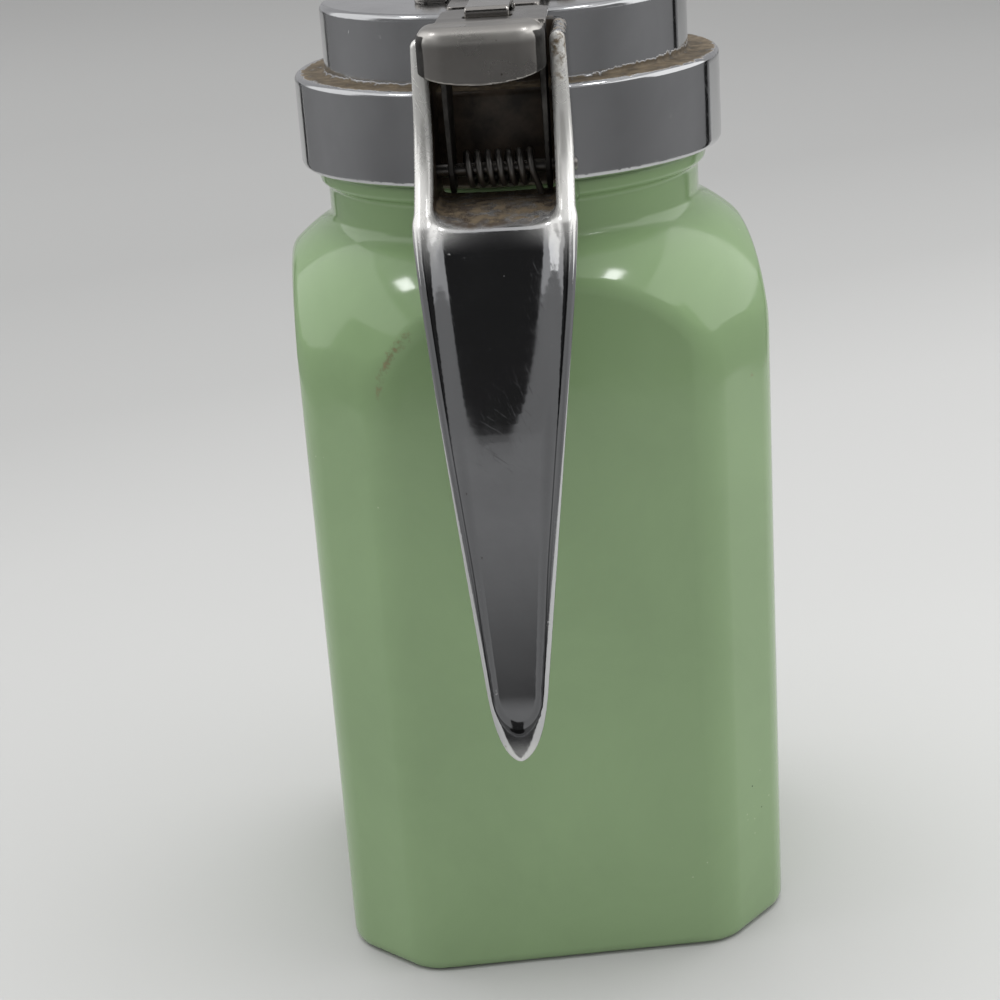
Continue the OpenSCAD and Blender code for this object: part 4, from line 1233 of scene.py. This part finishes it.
class DISPENSER_OT_stage(bpy.types.Operator):
    """Set the camera, the floor, the lamps and the background"""

    bl_idname = "dispenser.stage"
    bl_label = "Stage"

    def execute(self, context):
        scene, stage = context.scene, context.scene.dispenser_stage
        data = bpy.data.cameras.new("camera")
        data.lens, data.sensor_width = stage.lens, 36
        camera = add_object("camera", data)
        camera.matrix_world = camera_matrix(stage)
        scene.camera = camera
        scene.view_settings.view_transform = "Standard"
        backdrop("floor", level_corners(0, 0, 0, FLOOR_REACH, FLOOR_REACH), [(0, 1, 2, 3)],
                 floor_material(stage))
        overhead = soft_light("overhead_light", place=(0.0, 0.25, 1.2), size=(1.8, 1.6), power=19.5)
        overhead.visible_glossy = False
        soft_light("left_light", place=(-0.95, 0.15, 0.55), size=(1.4, 1.0), power=3.1)
        soft_light("right_light", place=(0.95, 0.2, 0.55), size=(1.4, 1.0), power=4.3)
        screen("screen_sides", radius=0.36, azimuths=(-137, 137), heights=SCREEN_HEIGHTS, axis="Y",
               brightness=[(0.0, 0.22), (0.12, 0.21), (0.25, 0.18), (0.55, 0.26), (0.7, 0.27), (0.9, 0.21)])
        screen("screen_front", radius=0.357, azimuths=(-32, 32), heights=SCREEN_HEIGHTS,
               brightness=[(0.1, 0.03), (0.3, 0.09), (0.5, 0.18), (0.65, 0.225), (1.0, 0.225)])
        screen("screen_upper_front", radius=0.62, azimuths=(-85, 85), heights=(0.19, 0.5), brightness=0.2)
        for name, azimuths in (("screen_left_end", (-143, -138)), ("screen_right_end", (129, 134))):
            screen(name, radius=0.358, azimuths=azimuths, heights=SCREEN_HEIGHTS, brightness=0.01)
        panel_over_camera("panel_over_camera", low=(-0.48, 0.19), high=(-0.29, 0.68), half_low=0.2,
                          half_high=0.3, brightness=0.02)
        for name, spot, halves, brightness in (("ceiling", (0, 0.25, 1.3), (0.9, 0.8), 0.65),
                                               ("lamp_left", (-0.67, -0.02, 1.12), (0.06, 0.09), 16.0),
                                               ("lamp_right", (0.57, -0.08, 1.18), (0.06, 0.09), 16.0)):
            card(name, level_corners(*spot, *halves), [(0, 1, 2, 3)], brightness)
        self.set_world(scene)
        return {"FINISHED"}

    def set_world(self, scene):
        """Soft even light, with a pale background for the camera, metal and glass."""
        world = bpy.data.worlds.new("studio")
        world.use_nodes = True
        scene.world = world
        tree = world.node_tree
        light = tree.nodes["Background"]
        light.inputs["Color"].default_value = (1, 1, 1, 1)
        light.inputs["Strength"].default_value = 0.6
        seen = node(tree, "ShaderNodeBackground", Color=(0.42, 0.42, 0.43, 1.0), Strength=1.0)
        path = node(tree, "ShaderNodeLightPath")
        glossy = node(tree, "ShaderNodeMath", operation="ADD")
        through = node(tree, "ShaderNodeMath", operation="ADD", use_clamp=True)
        mix = node(tree, "ShaderNodeMixShader")
        wire_up(tree, (path.outputs["Is Camera Ray"], glossy.inputs[0]),
                (path.outputs["Is Glossy Ray"], glossy.inputs[1]),
                (glossy.outputs[0], through.inputs[0]),
                (path.outputs["Is Transmission Ray"], through.inputs[1]),
                (through.outputs[0], mix.inputs[0]), (light.outputs[0], mix.inputs[1]),
                (seen.outputs[0], mix.inputs[2]),
                (mix.outputs[0], tree.nodes["World Output"].inputs["Surface"]))


class DISPENSER_PT_panel(bpy.types.Panel):
    """Buttons and settings of the dispenser"""

    bl_label = "Syrup Dispenser"
    bl_idname = "DISPENSER_PT_panel"
    bl_space_type = "VIEW_3D"
    bl_region_type = "UI"
    bl_category = "Dispenser"

    def draw(self, context):
        layout = self.layout
        for name, _, settings in SETTINGS:
            group = getattr(context.scene, name)
            column = layout.column(align=True)
            column.label(text=settings)
            for key in group.__annotations__:
                column.prop(group, key)
        for step in STEPS:
            layout.operator(step.bl_idname)


SETTINGS = [("dispenser_jar", JarSettings, "Jar"), ("dispenser_lid", LidSettings, "Lid and handle"),
            ("dispenser_lever", LeverSettings, "Lever"), ("dispenser_stage", StageSettings, "Stage")]
STEPS = [DISPENSER_OT_stage, DISPENSER_OT_jar, DISPENSER_OT_lid, DISPENSER_OT_handle, DISPENSER_OT_lever,
         DISPENSER_OT_shutter]
CLASSES = [group for _, group, _ in SETTINGS] + STEPS + [DISPENSER_PT_panel]


def register():
    """Registers the classes and hangs the settings on the scene."""
    for item in CLASSES:
        bpy.utils.register_class(item)
    for name, group, _ in SETTINGS:
        setattr(bpy.types.Scene, name, PointerProperty(type=group))


def unregister():
    """Takes the settings and the classes away again."""
    for name, _, _ in SETTINGS:
        delattr(bpy.types.Scene, name)
    for item in reversed(CLASSES):
        bpy.utils.unregister_class(item)


def main():
    """Builds the whole scene."""
    register()
    for step in STEPS:
        family, name = step.bl_idname.split(".")
        getattr(getattr(bpy.ops, family), name)()


if __name__ == "__main__":
    main()
